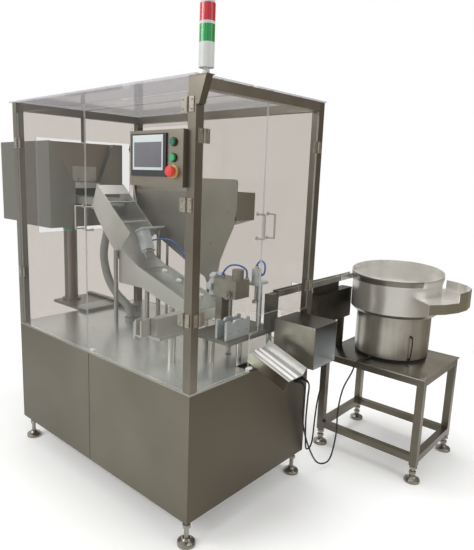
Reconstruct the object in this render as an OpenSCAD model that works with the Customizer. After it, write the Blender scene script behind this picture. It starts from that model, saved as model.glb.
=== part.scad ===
// Tube filling machine with a product hopper, a guarded filling table and a vibrating cap feeder.
// Every place is measured from the cabinet's front right corner at its underside:
// X runs to the right along the front, Y to the back and Z up. to_row() moves it to the row's origin.

/* [Cabinet] */
// Length of the cabinet along the front
cab_l = 1295; // [1150:5:1500]
// Depth of the cabinet from front to back
cab_w = 815; // [780:5:1000]
// Height of the cabinet body over its feet
cab_h = 540; // [480:5:620]
// Height of the machine's levelling feet
foot_h = 121; // [110:1:150]
// Thickness of the cover sheets
panel_t = 2; // [1.5:0.5:3]
// Thickness of the table plate
table_t = 8; // [6:1:12]
// Side of the square tube in the cabinet frame
frame_tube = 40; // [30:1:50]
// Distance of the front seam from the right end
front_seam = 656; // [500:5:800]
// Diameter of a levelling foot's pad
pad_d = 76; // [60:1:90]

/* [Guard] */
// Height of the guard over the table
guard_h = 1136; // [1080:2:1300]
// Side of a guard post
post = 38; // [32:1:44]
// Wall of a guard post
post_wall = 2; // [1.5:0.5:4]
// Thickness of the clear sheets
sheet_t = 8; // [5:1:10]
// Thickness of the roof sheet
roof_t = 6; // [4:1:10]
// Gap around each door
door_gap = 3; // [2:0.5:5]
// Distance of the front doors' meeting edge from the right end
front_split = 666; // [560:2:720]
// Distance of the end doors' meeting edge from the front
end_split = 405; // [398:1:420]

/* [Door fittings] */
// Height of a hinge
hinge_h = 50; // [40:1:60]
// Width of a hinge leaf
leaf_w = 30; // [22:1:34]
// Thickness of a hinge leaf
leaf_t = 3; // [2:0.5:4]
// Radius of a hinge knuckle
knuckle_r = 5; // [4.5:0.5:7]
// Radius of a hinge pin
pin_r = 2.5; // [2:0.25:3]
// Length of a pull handle
handle_h = 105; // [80:1:140]
// Height of the handles' lower ends over the table
handle_z = 558; // [500:2:640]
// Reach of a handle from the door
handle_out = 38; // [30:1:50]
// Diameter of a handle's bar
handle_d = 8; // [7:1:12]

/* [Operator panel] */
// Width of the panel box
panel_l = 290; // [280:2:320]
// Height of the panel box
panel_h = 200; // [190:2:215]
// Depth of the panel box
panel_d = 80; // [60:2:90]
// Height of the panel box over the table
panel_z = 762; // [750:2:775]
// Reach of the panel box in front of the guard
panel_out = 20; // [15:1:30]
// Width of the touch screen
screen_w = 195; // [180:1:205]
// Height of the touch screen
screen_h = 152; // [140:1:160]
// Diameter of a push button
button_d = 24; // [20:1:28]
// Travel of the buttons
button_travel = 4; // [2:0.5:5]
// Diameter of the emergency stop's head
estop_d = 40; // [32:1:44]

/* [Signal tower] */
// Diameter of the signal tower
tower_d = 52; // [46:1:56]
// Height of one lens
lens_h = 55; // [45:1:70]
// Height of the tower's base
tower_base_h = 78; // [60:1:90]

/* [Product hopper] */
// Length of the hopper
hopper_l = 568; // [520:2:640]
// Width of the hopper
hopper_w = 500; // [460:2:560]
// Height of the hopper
hopper_h = 470; // [440:2:540]
// Gap between the hopper and the cabinet's end
hopper_gap = 55; // [50:1:80]
// Distance of the hopper from the front
hopper_y = 228; // [215:1:240]
// Height of the hopper's lower edge over the table
hopper_z = 500; // [495:1:505]
// Sheet thickness of the hopper
hopper_t = 3; // [2:0.5:4]
// Width of the hopper's spout
spout_w = 172; // [160:1:184]
// Diameter of the hopper's column
column_d = 80; // [60:1:100]

/* [Product trough] */
// Distance of the trough from the front
trough_y = 361; // [355:1:366]
// Width of the trough
trough_w = 176; // [170:1:190]
// Thickness of the trough's side plates
trough_t = 4; // [3:0.5:5]
// Distance of the trough's lower end from the right end
trough_end = 303; // [303:1:306]

/* [Tube bin] */
// Distance of the tube bin from the guard's back
bin_back = 79; // [70:1:100]
// Sheet thickness of the tube bin
bin_t = 3; // [2:0.5:4]

/* [Filling station] */
// Height of the station plate's underside over the table
station_z = 100; // [96:1:104]
// Thickness of the station plate
station_t = 15; // [12:1:18]
// Diameter of the table posts
rod_d = 24; // [18:1:28]
// Diameter of the wheel shaft and drive shaft
shaft_d = 20; // [16:1:24]
// Diameter of the pocket wheel
wheel_d = 120; // [100:2:126]
// Pockets in the wheel
pockets = 6; // [5:1:8]
// Diameter of a tube pocket
pocket_d = 32; // [24:1:36]
// Radial clearance of running shafts and pins
run_gap = 0.05; // [0.02:0.01:0.1]

/* [Outfeed] */
// Width of the outfeed chute
chute_w = 112; // [100:1:124]
// Slope of the outfeed chute in degrees
chute_slope = 20; // [15:0.5:22]
// Length of the outfeed chute
chute_l = 212; // [180:2:240]
// Width of the box chute
duct_w = 180; // [150:1:190]
// Height of the box chute
duct_h = 185; // [150:1:192]
// Reach of the box chute past the right end
duct_out = 180; // [140:2:220]

/* [Cap feeder] */
// Length of the feeder stand
stand_l = 568; // [540:2:620]
// Depth of the feeder stand
stand_w = 478; // [470:2:540]
// Height of the feeder stand over the floor
stand_h = 538; // [530:1:550]
// Side of the stand's square tube
stand_tube = 35; // [30:1:40]
// Height of the stand's levelling feet
stand_foot_h = 86; // [70:1:100]
// Diameter of the bowl's drum
drum_d = 380; // [340:2:390]
// Height of the bowl's drum
drum_h = 211; // [200:1:225]
// Diameter of the bowl
bowl_d = 452; // [430:2:460]
// Height of the bowl
bowl_h = 195; // [180:1:210]
// Wall of the bowl
bowl_t = 4; // [3:0.5:5]
// Width of the cap track
track_w = 34; // [28:1:38]

/* [Cables] */
// Diameter of the feeder's cables
cable_d = 8; // [6:0.5:10]
// Diameter of the air hoses
hose_d = 8; // [6:0.5:10]
// Diameter of the curved duct behind the trough
flex_d = 46; // [36:1:50]

/* [Hidden] */
$fn = 48;
eps = 0.01;
seat = 0.3;
tz = cab_h;
top_z = tz + guard_h;
rail_z = top_z - post;
floor_z = -foot_h;

// Left end of the cabinet, hopper and trough
left = -cab_l;
hop_x1 = left - hopper_gap;
hop_x0 = hop_x1 - hopper_l;
hop_z = tz + hopper_z;
hop_top = hop_z + hopper_h;
spout_y = hopper_y + (hopper_w - spout_w) / 2;
spout_depth = 40;
spout_low = 115;
spout_high = 243;
plate_low = 6;

// Trough: side plate corners as x from a fixed end and height over the table
box_x = left + 202;
bend_x = left + 543;
end_x = -trough_end;
bend_h = 342;
end_h = 198;
rise = (bend_h - end_h) / (end_x - bend_x);
slope = atan(rise);
box_slope = atan(243 / 284);
floor_pts = [[box_x - 32, 610], [box_x + 213, 385], [bend_x + 7, 295], [end_x, 150]];
floor_t = 3;
far_y = trough_y + trough_w;
mid_y = trough_y + trough_w / 2;
cover_t = 5;
spigot_tilt = 42.6;
spigot_h = 18;

// Stop unit: top of its cylinder, tilt and stroke
stop_x = bend_x - 70;
stop_top = 512;
stop_tilt = 25;
stop_l = 105;
stop_rod_d = 8;
stop_plate_w = 60;
stop_plate_t = 8;
stop_post_x = stop_x;
stop_post_y = far_y + 31;

// Tube bin behind the trough: outlines as distance along the front and height over the table
bin_y0 = far_y + 63;
bin_y1 = cab_w - bin_back;
bin_l = bin_y1 - bin_y0 - 2 * bin_t;
bin_x0 = left + 245;
bin_x1 = -307;
bin_top = 790;
bin_back_top = 727;
bin_corner = 16;
function bin_at(d) = bin_x1 - d * (bin_x1 - bin_x0) / 743;
bin_face_left = [[bin_x0, bin_top], [bin_x0, 553], [bin_at(195), 293], [bin_at(159), 227]];
bin_face_right = [[bin_at(123), 239], [bin_at(99), 388], [bin_at(57), 484], [bin_at(19), 561],
    [bin_x1, 650]];
bin_slide = [[bin_x0, bin_back_top], [bin_x0, 553], [bin_at(293), 339]];
bin_neck = [[bin_at(253), 330], [bin_at(253), 521], [bin_x1, 595], [bin_x1, bin_back_top]];

// Filling and capping station
st_z = tz + station_z;
st_top = st_z + station_t;
st_x0 = -300;
st_x1 = -75;
st_y0 = 300;
st_y1 = 650;
shaft_x = -200;
shaft_y = 450;
house_x0 = -260;
house_x1 = -130;
house_y0 = 400;
house_y1 = 495;
house_z = tz + 275;
house_h = 80;
wheel_y = 448;
wheel_z = house_z + 40;
wheel_t = 30;
ram_x = -130;
ram_y = 545;
ram_d = 12;
ram_body_d = 44;
arm_z = tz + 322;
arm_t = 12;
ram_travel = 40;
push_x = -330;
push_z = tz + 183;
push_d = 12;
push_head = 24;
push_travel = 80;
box_size = 120;

// Outfeed chutes
chute_y = 388;
chute_x = -25;
chute_z = tz + 67;
chute_pts = [[0, -45], [0, 0], [28, 0], [34, 6], [40, 0], [60, 0], [66, 6], [72, 0], [104, 0],
    [112, 38]] * (chute_w / 112);
duct_y = 562;
duct_in = 30;
sheet_2 = 2;
notch = [75, 356, 74];

// Doors: the end doors' lower edges and the front notch around the panel box
sill = tz + 4;
lintel = rail_z - 4;
front_lintel = rail_z - 14;
roof_seam = cab_w / 2 + 12;
near_sill = tz + 164;
near_step = 348;
far_sill = tz + 232;
far_step_z = tz + 202;
far_step = 576;
panel_x1 = -post;
panel_x0 = panel_x1 - panel_l;
panel_clear = 14;
collar_h = 5;
estop_h = 19;
portal_y0 = 120;
portal_y1 = 740;
portal_h = 978;
hinge_pairs = [282, 940];
hinge_three = [282, 702, 1043];

// Cap feeder
stand_x = -112;
stand_y = 1122;
stand_z = floor_z + stand_h;
stand_top_t = 4;
apron = 28;
ring_h = 28;
ring_in = 5;
bowl_x = stand_x + 266;
bowl_y = stand_y + 285;
drum_z = stand_z + ring_h;
bowl_z = drum_z + drum_h + seat;
bowl_r = bowl_d / 2;
rim_h = 40;
rim_w = 7;
tail_r = bowl_r + 136;
tail_z = bowl_h - 82;
track_x = bowl_x - bowl_r - 23;
track_z = bowl_z + 144;
track_h = 28;
track_y0 = st_y1;
track_y1 = bowl_y - 185;
drive_z = track_z - 45;
drive_h = 163;
drive_y0 = 985;
drive_y1 = 1335;
foot_in = 36;

// Routes of the cables and hoses, chosen by hand
gland_z = 398;
bowl_gland_y = cab_w - 96;
track_gland_y = cab_w - 55;
gland_d = 20;
gland_out = 14;
gland_end = gland_out + seat;
bowl_route = [[gland_end, bowl_gland_y, gland_z], [37, bowl_gland_y + 2, gland_z - 9],
    [46, bowl_gland_y + 6, gland_z - 32], [42, 735, 310], [32, 750, 200], [31, 795, 75], [44, 866, -56],
    [59, 926, -98], [72, 978, -78], [79, 1006, 45], [78, 1008, 173], [84, 1032, 285], [97, 1084, 360],
    [105, 1108, 409], [114, 1134, 428], [123, 1180, 424], [129, 1219, 424]];
track_route = [[gland_end, track_gland_y, gland_z], [37, track_gland_y + 2, gland_z - 9],
    [46, track_gland_y + 5, gland_z - 32], [40, 770, 310], [28, 785, 180], [18, 812, 50], [15, 827, 9],
    [14, 850, -2], [14, 873, 9], [15, 884, 50], [15, 892, 150], [16, 907, 250], [12, 948, 335],
    [-10, 1005, 420], [-55, 1080, 510], [-84, 1121, 548], [track_x, 1135, drive_z - drive_h - 16],
    [track_x, 1135, drive_z - drive_h - seat]];
lead_route = [[305, 1289.4, 560], [314, 1282.4, 558], [318, 1280, 520], [312, 1283.4, 452],
    [300.9, 1292.2, 436]];
hose_gate = [[stop_x + 36, 481.4, 1000], [stop_x + 38, 505, 1002], [stop_x + 54, 530, 1006],
    [stop_x + 87, 552, 1006], [stop_x + 132, 566, 990], [stop_x + 182, 582, 930],
    [stop_x + 216, 594, 830], [stop_x + 232, 600, 700], [stop_x + 232, 600, 620],
    [stop_x + 232, 600, tz + seat]];
hose_arc = [[-238, 440, 896], [-236, 440, 920], [-205, 444, 952], [-162, 456, 958], [-136, 476, 938],
    [-134.5, 482, 896]];
hose_ram = [[-130, 545, 941], [-129, 546, 958], [-112, 549, 976], [-90, 546, 966], [-82, 541, 940],
    [-88, 539, 918], [-106.5, 540.5, 915]];
flex_n = [-sin(spigot_tilt), 0, -cos(spigot_tilt)];
spigot = [box_x + 8, mid_y + 20, tz + 610 - 40 * 225 / 245];
flex_start = floor_t + spigot_h + seat;
flex_route = [spigot + flex_start * flex_n, spigot + (flex_start + 18) * flex_n,
    spigot + (flex_start + 38) * flex_n, [box_x - 68, mid_y + 20, tz + 450],
    [box_x - 94, mid_y + 20, tz + 335], [box_x - 57, mid_y + 20, tz + 215],
    [box_x + 21, mid_y + 20, tz + 130], [box_x + 118, mid_y + 20, tz + 80],
    [box_x + 153, mid_y + 20, tz + 45], [box_x + 155, mid_y + 20, tz + 16]];

// The row's origin: middle of the footprint's box, on the floor
handle_front = -handle_out - handle_d / 2;
row_x0 = hop_x0;
row_x1 = bowl_x + tail_r;
row_y0 = min(handle_front, -panel_out - collar_h - button_travel - 2 - estop_h);
row_y1 = bowl_y + bowl_r + rim_w;

steel = [0.62, 0.61, 0.57];
dark_steel = [0.45, 0.43, 0.38];
bright = [0.80, 0.80, 0.79];
clear = [0.85, 0.88, 0.90, 0.35];

// Moves a piece from the cabinet's corner to the row's origin
module to_row() translate([-(row_x0 + row_x1) / 2, -(row_y0 + row_y1) / 2, foot_h]) children();

// A block between two corners
module block(lo, hi) translate(lo) cube(hi - lo);

// A flat piece outlined in X and Z, from y0 towards the back
module plate_xz(y0, t) translate([0, y0 + t, 0]) rotate([90, 0, 0]) linear_extrude(t) children();

// A flat piece outlined in Y and Z, from x0 towards the right
module plate_yz(x0, t) translate([x0, 0, 0]) rotate([90, 0, 90]) linear_extrude(t) children();

// A round bar standing on p
module rod_z(p, d, h) translate(p) cylinder(d = d, h = h);

// A round bar from p towards the right
module rod_x(p, d, l) translate(p) rotate([0, 90, 0]) cylinder(d = d, h = l);

// A round bar from p towards the back
module rod_y(p, d, l) translate(p) rotate([-90, 0, 0]) cylinder(d = d, h = l);

// Heights over the table, lifted to the table
function lift(pts) = [for (p = pts) [p[0], p[1] + tz]];

// A sheet strip that follows a bent line, t to the left of it
function unit(v) = v / norm(v);
function side(p, i) = let (d = unit(p[i + 1] - p[i])) [-d[1], d[0]];
function shift(p, i) = i == 0 ? side(p, 0) : i == len(p) - 1 ? side(p, i - 1)
    : let (a = side(p, i - 1), b = side(p, i)) (a + b) / (1 + a * b);
function strip(p, t) = concat(p, [for (i = [len(p) - 1:-1:0]) p[i] + shift(p, i) * t]);

// A smooth line through hand-chosen points, with n steps between neighbours
function bend_at(p, i, s) =
    let (a = p[max(i - 1, 0)], b = p[i], c = p[i + 1], d = p[min(i + 2, len(p) - 1)])
    0.5 * (2 * b + (c - a) * s + (2 * a - 5 * b + 4 * c - d) * s * s + (3 * b - a - 3 * c + d) * s
        * s * s);
function curve(p, n) = concat([for (i = [0:len(p) - 2], k = [0:n - 1]) bend_at(p, i, k / n)],
    [p[len(p) - 1]]);

// A closed skin over a row of rings with the same count of points
module loft(rings) {
    n = len(rings[0]);
    m = len(rings);
    sides = [for (i = [0:m - 2], k = [0:n - 1])
        [i * n + k, (i + 1) * n + k, (i + 1) * n + (k + 1) % n, i * n + (k + 1) % n]];
    polyhedron([for (r = rings) each r],
        concat(sides, [[for (k = [0:n - 1]) k]], [[for (k = [n - 1:-1:0]) (m - 1) * n + k]]), 4);
}

// A round tube swept along a route, n rings between the route's points
module hose(route, d, n, ref, sides = 8) {
    path = curve(route, n);
    last = len(path) - 1;
    loft([for (i = [0:last])
        let (t = unit(path[min(i + 1, last)] - path[max(i - 1, 0)]), u = unit(cross(ref, t)),
            v = cross(t, u))
        [for (k = [0:sides - 1]) path[i] + d / 2 * (u * cos(360 * k / sides) + v * sin(360 * k /
            sides))]]);
}

// CABINET

module base_frame() color(dark_steel) to_row() {
    x0 = left + panel_t;
    x1 = -panel_t;
    y0 = panel_t;
    y1 = cab_w - panel_t;
    z1 = tz - table_t;
    for (x = [x0, x1 - frame_tube], y = [y0, y1 - frame_tube])
        block([x, y, 0], [x + frame_tube, y + frame_tube, z1]);
    for (z = [0, z1 - frame_tube]) {
        for (y = [y0, y1 - frame_tube]) block([x0, y, z], [x1, y + frame_tube, z + frame_tube]);
        for (x = [x0, x1 - frame_tube]) block([x, y0, z], [x + frame_tube, y1, z + frame_tube]);
    }
    block([x0, y0, frame_tube - panel_t], [x1, y1, frame_tube]);
}

module table_top() color(bright) to_row() difference() {
    block([left, 0, tz - table_t], [0, cab_w, tz]);
    block([-notch[0], notch[1], tz - table_t - 1], [1, notch[1] + notch[2], tz + 1]);
    rod_z([shaft_x, shaft_y, tz - table_t - 1], shaft_d + 10, table_t + 2);
}

module cover_panels() color(steel) to_row() {
    z1 = tz - table_t;
    half_seam = 1.5;
    block([left, 0, 0], [-front_seam - half_seam, panel_t, z1]);
    block([-front_seam + half_seam, 0, 0], [0, panel_t, z1]);
    block([left, cab_w - panel_t, 0], [0, cab_w, z1]);
    block([left, panel_t + seat, 0], [left + panel_t, cab_w - panel_t - seat, z1]);
    difference() {
        block([-panel_t, panel_t + seat, 0], [0, cab_w - panel_t - seat, z1]);
        for (y = [bowl_gland_y, track_gland_y]) rod_x([-panel_t - 1, y, gland_z], gland_d, panel_t + 2);
    }
}

// One levelling foot: pad, neck, threaded stem and jam nut
module foot(p, h) translate(p) {
    r = pad_d / 2;
    rotate_extrude() polygon([[0, 0], [r, 0], [r, 11], [r - 3, 16], [r * 0.55, 23], [r * 0.4, 30], [0, 30]]);
    cylinder(d = 20, h = h);
    translate([0, 0, h - 16]) cylinder(d = 40, h = 12, $fn = 6);
}

module levelling_feet() color(bright) to_row() {
    for (x = [left + foot_in, -foot_in], y = [foot_in, cab_w - foot_in]) foot([x, y, floor_z], foot_h);
    in = 6 + stand_tube / 2;
    for (x = [stand_x + in, stand_x + stand_l - in], y = [stand_y + in, stand_y + stand_w - in])
        foot([x, y, floor_z], stand_foot_h);
}

module gear_motor() color([0.30, 0.33, 0.36]) to_row() {
    z1 = tz - table_t;
    half = box_size / 2;
    motor_d = 110;
    motor_l = 220;
    difference() {
        block([shaft_x - half, shaft_y - half, z1 - box_size], [shaft_x + half, shaft_y + half, z1]);
        rod_z([shaft_x, shaft_y, z1 - 55], shaft_d + 2 * run_gap, 56);
    }
    rod_x([shaft_x - half - motor_l, shaft_y, z1 - half], motor_d, motor_l);
    for (i = [1:5]) rod_x([shaft_x - half - motor_l + i * 35, shaft_y, z1 - half], motor_d + 8, 12);
}

module drive_shaft() color(bright) to_row() {
    z0 = tz - table_t - 54;
    rod_z([shaft_x, shaft_y, z0], shaft_d, house_z + 28 - z0);
    rod_z([shaft_x, shaft_y, st_top + seat], shaft_d + 16, 18);
}

// GUARD

module square_tube(l) linear_extrude(l) difference() {
    square(post);
    translate([post_wall, post_wall]) square(post - 2 * post_wall);
}

module guard_posts() color(dark_steel) to_row()
    for (x = [left, -post], y = [0, cab_w - post]) translate([x, y, tz]) square_tube(guard_h);

module guard_rails() color(dark_steel) to_row() {
    translate([left + post, cab_w - post, rail_z]) rotate([90, 0, 90]) square_tube(cab_l - 2 * post);
    for (x = [left, -post]) translate([x, cab_w - post, rail_z]) rotate([90, 0,
        0]) square_tube(cab_w - 2 * post);
    strap_w = 28;
    strap_y = (cab_w - strap_w) / 2;
    block([left + sheet_t, strap_y, tz + portal_h - 12], [left + sheet_t + 3, strap_y + strap_w,
        rail_z]);
}

// Two roof sheets that meet over the middle, the front one with a strip that hangs over the doors
module roof_sheet() color(clear) to_row() {
    over = 6;
    over_left = 25;
    joint = 2;
    z1 = top_z + roof_t;
    difference() {
        block([left - over_left, -over, top_z], [over, cab_w + over, z1]);
        block([left - over_left - 1, roof_seam, top_z - 1], [over + 1, roof_seam + joint, z1 + 1]);
        block([-12, 300, top_z - 1], [over + 1, 322, z1 + 1]);
        block([-eps, -over - 1, top_z - 1], [over + 1, tower_y + 36, z1 + 1]);
    }
    block([left + post + seat, 0, front_lintel + 4], [-post - seat, sheet_t, top_z + eps]);
}

// The hopper's end: a window as high as the hopper, a slot for the column's base and a seam
module left_guard_sheet() color(clear) to_row() difference() {
    x1 = left + sheet_t + 1;
    block([left, post, tz], [left + sheet_t, cab_w - post, rail_z]);
    block([left - 1, portal_y0, hop_z - 25], [x1, portal_y1, tz + portal_h]);
    block([left - 1, column_y - 97, tz - 1], [x1, column_y + 183, tz + 35]);
    block([left - 1, post - 1, hop_z + 178], [x1, cab_w - post + 1, hop_z + 180]);
}

module rear_guard_sheet() color(clear) to_row() difference() {
    block([left + post, cab_w - sheet_t, tz], [-post, cab_w, rail_z]);
    block([track_x - track_w / 2 - 6, cab_w - sheet_t - 1, track_z - 8],
        [track_x + track_w / 2 + 6, cab_w + 1, track_z + track_h + 14]);
}

// Places a door's own frame: x runs from the post across the door, y points out of the guard
module at_front_left() translate([left + post + door_gap / 2, 0, 0]) mirror([0, 1, 0]) children();
module at_front_right() translate([-post - door_gap / 2, 0, 0]) rotate([0, 0, 180]) children();
module at_end_near() translate([0, post + door_gap / 2, 0]) rotate([0, 0, 90]) mirror([0, 1,
    0]) children();
module at_end_far() translate([0, cab_w - post - door_gap / 2, 0]) rotate([0, 0, -90]) children();

// The post's half of a hinge: leaf, lower knuckle and pin
module post_leaf() {
    half = hinge_h / 2;
    clear_x = knuckle_r + 0.5;
    translate([-leaf_w, 0, -half]) cube([leaf_w - clear_x, leaf_t, hinge_h]);
    translate([-leaf_w, 0, -half]) cube([leaf_w, leaf_t, half - seat]);
    translate([0, knuckle_r, -half]) cylinder(r = knuckle_r, h = half - seat);
    translate([0, knuckle_r, -half]) cylinder(r = pin_r, h = hinge_h - 3);
}

// The door's half of a hinge: leaf and upper knuckle with its bore
module door_leaf() difference() {
    half = hinge_h / 2;
    clear_x = knuckle_r + 0.5;
    union() {
        translate([clear_x, 0, -half]) cube([leaf_w - clear_x, leaf_t, hinge_h]);
        translate([0, 0, seat]) cube([leaf_w, leaf_t, half - seat]);
        translate([0, knuckle_r, seat]) cylinder(r = knuckle_r, h = half - seat);
    }
    translate([0, knuckle_r, -1]) cylinder(r = pin_r + run_gap, h = half + 2);
}

module hinge_leaves() color(bright) to_row() {
    at_front_left() for (h = hinge_pairs) translate([0, 0, tz + h]) post_leaf();
    at_front_right() for (h = hinge_three) translate([0, 0, tz + h]) post_leaf();
    at_end_near() for (h = hinge_pairs) translate([0, 0, tz + h]) post_leaf();
    at_end_far() for (h = [hinge_pairs[0] + 30, hinge_pairs[1]]) translate([0, 0, tz + h]) post_leaf();
}

// A door's clear sheet from its outline in x and z
module door_sheet(outline) rotate([90, 0, 0]) linear_extrude(sheet_t) polygon(outline);

// A bent pull handle standing on the sheet at x
module pull_handle(x) {
    r = handle_d / 2;
    z0 = tz + handle_z + r;
    z1 = z0 + handle_h - handle_d;
    for (z = [z0, z1]) {
        rod_y([x, 0, z], handle_d, handle_out);
        translate([x, handle_out, z]) sphere(d = handle_d);
    }
    rod_z([x, handle_out, z0], handle_d, z1 - z0);
}

front_left_w = cab_l - front_split - post - door_gap;
front_right_w = front_split - post - door_gap;
end_near_w = end_split - post - door_gap;
end_far_w = cab_w - end_split - post - door_gap;
edge = door_gap / 2;

module front_left_door() color(clear) to_row() at_front_left()
    door_sheet([[edge, sill], [front_left_w, sill], [front_left_w, front_lintel], [edge, front_lintel]]);

module front_left_fittings() color(bright) to_row() at_front_left() {
    for (h = hinge_pairs) translate([0, 0, tz + h]) door_leaf();
    pull_handle(front_left_w - 14);
}

module front_right_door() color(clear) to_row() at_front_right() {
    n0 = tz + panel_z - panel_clear;
    n1 = tz + panel_z + panel_h + panel_clear;
    nx = panel_l + panel_clear;
    w = front_right_w;
    door_sheet([[edge, sill], [w, sill], [w, front_lintel], [edge, front_lintel], [edge, n1], [nx, n1],
        [nx, n0], [edge, n0]]);
}

module front_right_fittings() color(bright) to_row() at_front_right() {
    for (h = hinge_three) translate([0, 0, tz + h]) door_leaf();
    pull_handle(front_right_w - 56);
}

module end_near_door() color(clear) to_row() at_end_near() {
    step = near_step - post;
    w = end_near_w;
    door_sheet([[edge, sill], [step, sill], [step, near_sill], [w, near_sill], [w, lintel], [edge,
        lintel]]);
}

module end_near_fittings() color(bright) to_row() at_end_near() {
    for (h = hinge_pairs) translate([0, 0, tz + h]) door_leaf();
    pull_handle(end_near_w - 42);
}

module end_far_door() color(clear) to_row() at_end_far() {
    step = cab_w - post - far_step;
    w = end_far_w;
    door_sheet([[edge, far_step_z], [step, far_step_z], [step, far_sill], [w, far_sill], [w,
        lintel], [edge, lintel]]);
}

module end_far_fittings() color(bright) to_row() at_end_far() {
    for (h = [hinge_pairs[0] + 30, hinge_pairs[1]]) translate([0, 0, tz + h]) door_leaf();
    pull_handle(end_far_w - 22);
}

// OPERATOR PANEL

panel_lo = [panel_x0, -panel_out, tz + panel_z];
button_x = panel_x1 - 46;
button_zs = [tz + panel_z + 157, tz + panel_z + 103];
estop_z = tz + panel_z + 55;
screen_x = panel_x0 + 14;
screen_z = tz + panel_z + panel_h - 12 - screen_h;
screen_lip = 8;

module panel_box() color(steel) to_row() difference() {
    wall = 2;
    hi = panel_lo + [panel_l, panel_d, panel_h];
    block(panel_lo, hi);
    block(panel_lo + [wall, wall, wall], hi - [wall, wall, wall]);
    for (z = concat(button_zs, [estop_z])) rod_y([button_x, -panel_out - 1, z],
        button_d + 2 * run_gap, wall + 2);
    block([screen_x + screen_lip, -panel_out - 1, screen_z + screen_lip],
        [screen_x + screen_w - screen_lip, -panel_out + wall + 1, screen_z + screen_h - screen_lip]);
}

module touch_screen() color([0.12, 0.13, 0.14]) to_row() {
    bezel_t = 6;
    in = screen_lip + 0.5;
    block([screen_x, -panel_out - bezel_t, screen_z], [screen_x + screen_w, -panel_out,
        screen_z + screen_h]);
    block([screen_x + in, -panel_out - 1, screen_z + in],
        [screen_x + screen_w - in, -panel_out + 30, screen_z + screen_h - in]);
}

// A push button: plunger through the panel and a domed cap
module push_button(z) {
    out = collar_h + button_travel + 3;
    rod_y([button_x, -panel_out - out, z], button_d, out + 20);
}

module start_button() color([0.10, 0.66, 0.36]) to_row() push_button(button_zs[1]);

module reset_button() color([0.02, 0.38, 0.26]) to_row() push_button(button_zs[0]);

module estop_button() color([0.86, 0.16, 0.16]) to_row() {
    neck = collar_h + button_travel + 2;
    rod_y([button_x, -panel_out - neck, estop_z], button_d, neck + 20);
    translate([button_x, -panel_out - neck, estop_z]) rotate([90, 0, 0])
        rotate_extrude() polygon([[0, -eps], [estop_d / 2 - 3, -eps], [estop_d / 2, 4],
            [estop_d / 2, 12],
            [estop_d / 2 - 4, estop_h - 2], [0, estop_h]]);
}

module collar(z, d) difference() {
    rod_y([button_x, -panel_out - collar_h, z], d, collar_h);
    rod_y([button_x, -panel_out - collar_h - 1, z], button_d + 2 * run_gap, collar_h + 2);
}

module button_collars() color([0.92, 0.75, 0.12]) to_row() {
    for (z = button_zs) collar(z, button_d + 7);
    collar(estop_z, estop_d + 6);
}

// SIGNAL TOWER

tower_x = 23;
tower_y = 20;
flange_z = top_z - 2;
flange_t = 3;
pole_h = 20;
tower_ring = 9;
tower_z = flange_z + flange_t + pole_h;

// A folded bracket on the post's side: back, front gusset, slanted strap and top flange
module tower_bracket() color(dark_steel) to_row() {
    low = top_z - 94;
    foot_x = 12;
    top_x = 44;
    depth = 32;
    plate_yz(seat, flange_t) polygon([[0, low], [depth, low], [depth, flange_z + eps],
        [0, flange_z + eps]]);
    plate_xz(0, flange_t) polygon([[seat, low], [foot_x, low], [top_x, flange_z + eps],
        [seat, flange_z + eps]]);
    plate_xz(0, depth) polygon(strip([[foot_x, low], [top_x, flange_z + eps]], flange_t));
    block([seat, -2, flange_z], [top_x + 2, depth + 6, flange_z + flange_t]);
}

module tower_base() color([0.80, 0.82, 0.80]) to_row() translate([tower_x, tower_y, 0]) {
    z1 = tower_z + tower_base_h;
    translate([0, 0, tower_z - pole_h]) cylinder(d1 = 28, d2 = 18, h = pole_h + eps);
    rod_z([0, 0, tower_z], tower_d, tower_base_h);
    rod_z([0, 0, z1], 14, 2 * lens_h + 2 * tower_ring);
    rod_z([0, 0, z1 + lens_h], tower_d, tower_ring);
    rod_z([0, 0, z1 + 2 * lens_h + tower_ring], tower_d - 4, tower_ring);
}

// One lens: a ring of clear plastic around the tower's core
module lens(z) translate([tower_x, tower_y, z]) difference() {
    cylinder(d = tower_d, h = lens_h);
    translate([0, 0, -1]) cylinder(d = tower_d - 8, h = lens_h + 2);
}

module green_lens() color([0.02, 0.58, 0.25]) to_row() lens(tower_z + tower_base_h);

module red_lens() color([0.80, 0.08, 0.14]) to_row() lens(tower_z + tower_base_h + lens_h + tower_ring);

// PRODUCT HOPPER

// The V cut in the hopper's inner end: wide at the top, spout-wide at the bottom
function spout_v(top) = [[spout_y, hop_z + spout_high], [spout_y + spout_w, hop_z + spout_high],
    [hopper_y + hopper_w - 68, top], [hopper_y + 2 * hopper_t, top]];

module hopper_shell() color(steel) to_row() {
    y1 = hopper_y + hopper_w;
    xr = hop_x1 - spout_depth;
    difference() {
        block([hop_x0, hopper_y, hop_z], [hop_x1, y1, hop_top]);
        block([hop_x0 + hopper_t, hopper_y + hopper_t, hop_z - 1], [hop_x1 - hopper_t,
            y1 - hopper_t, hop_top + 1]);
        plate_yz(hop_x1 - hopper_t - 1, hopper_t + 2) polygon(spout_v(hop_top + 1));
        block([hop_x1 - hopper_t - 1, spout_y, hop_z + spout_low], [hop_x1 + 1, spout_y + spout_w,
            hop_z + spout_high + 1]);
    }
    v = spout_v(hop_top);
    plate_yz(xr, spout_depth) polygon(strip([v[3], v[0]], -hopper_t));
    plate_yz(xr, spout_depth) polygon(strip([v[1], v[2]], -hopper_t));
    plate_yz(xr - hopper_t, hopper_t) polygon(v);
    slide = [[hop_x0 + hopper_t, hop_top - 120], [xr - 60, hop_z + spout_low + 95], [xr - 20,
        hop_z + spout_low + 95]];
    plate_xz(hopper_y + hopper_t, hopper_w - 2 * hopper_t) polygon(strip(slide, -hopper_t));
}

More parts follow.
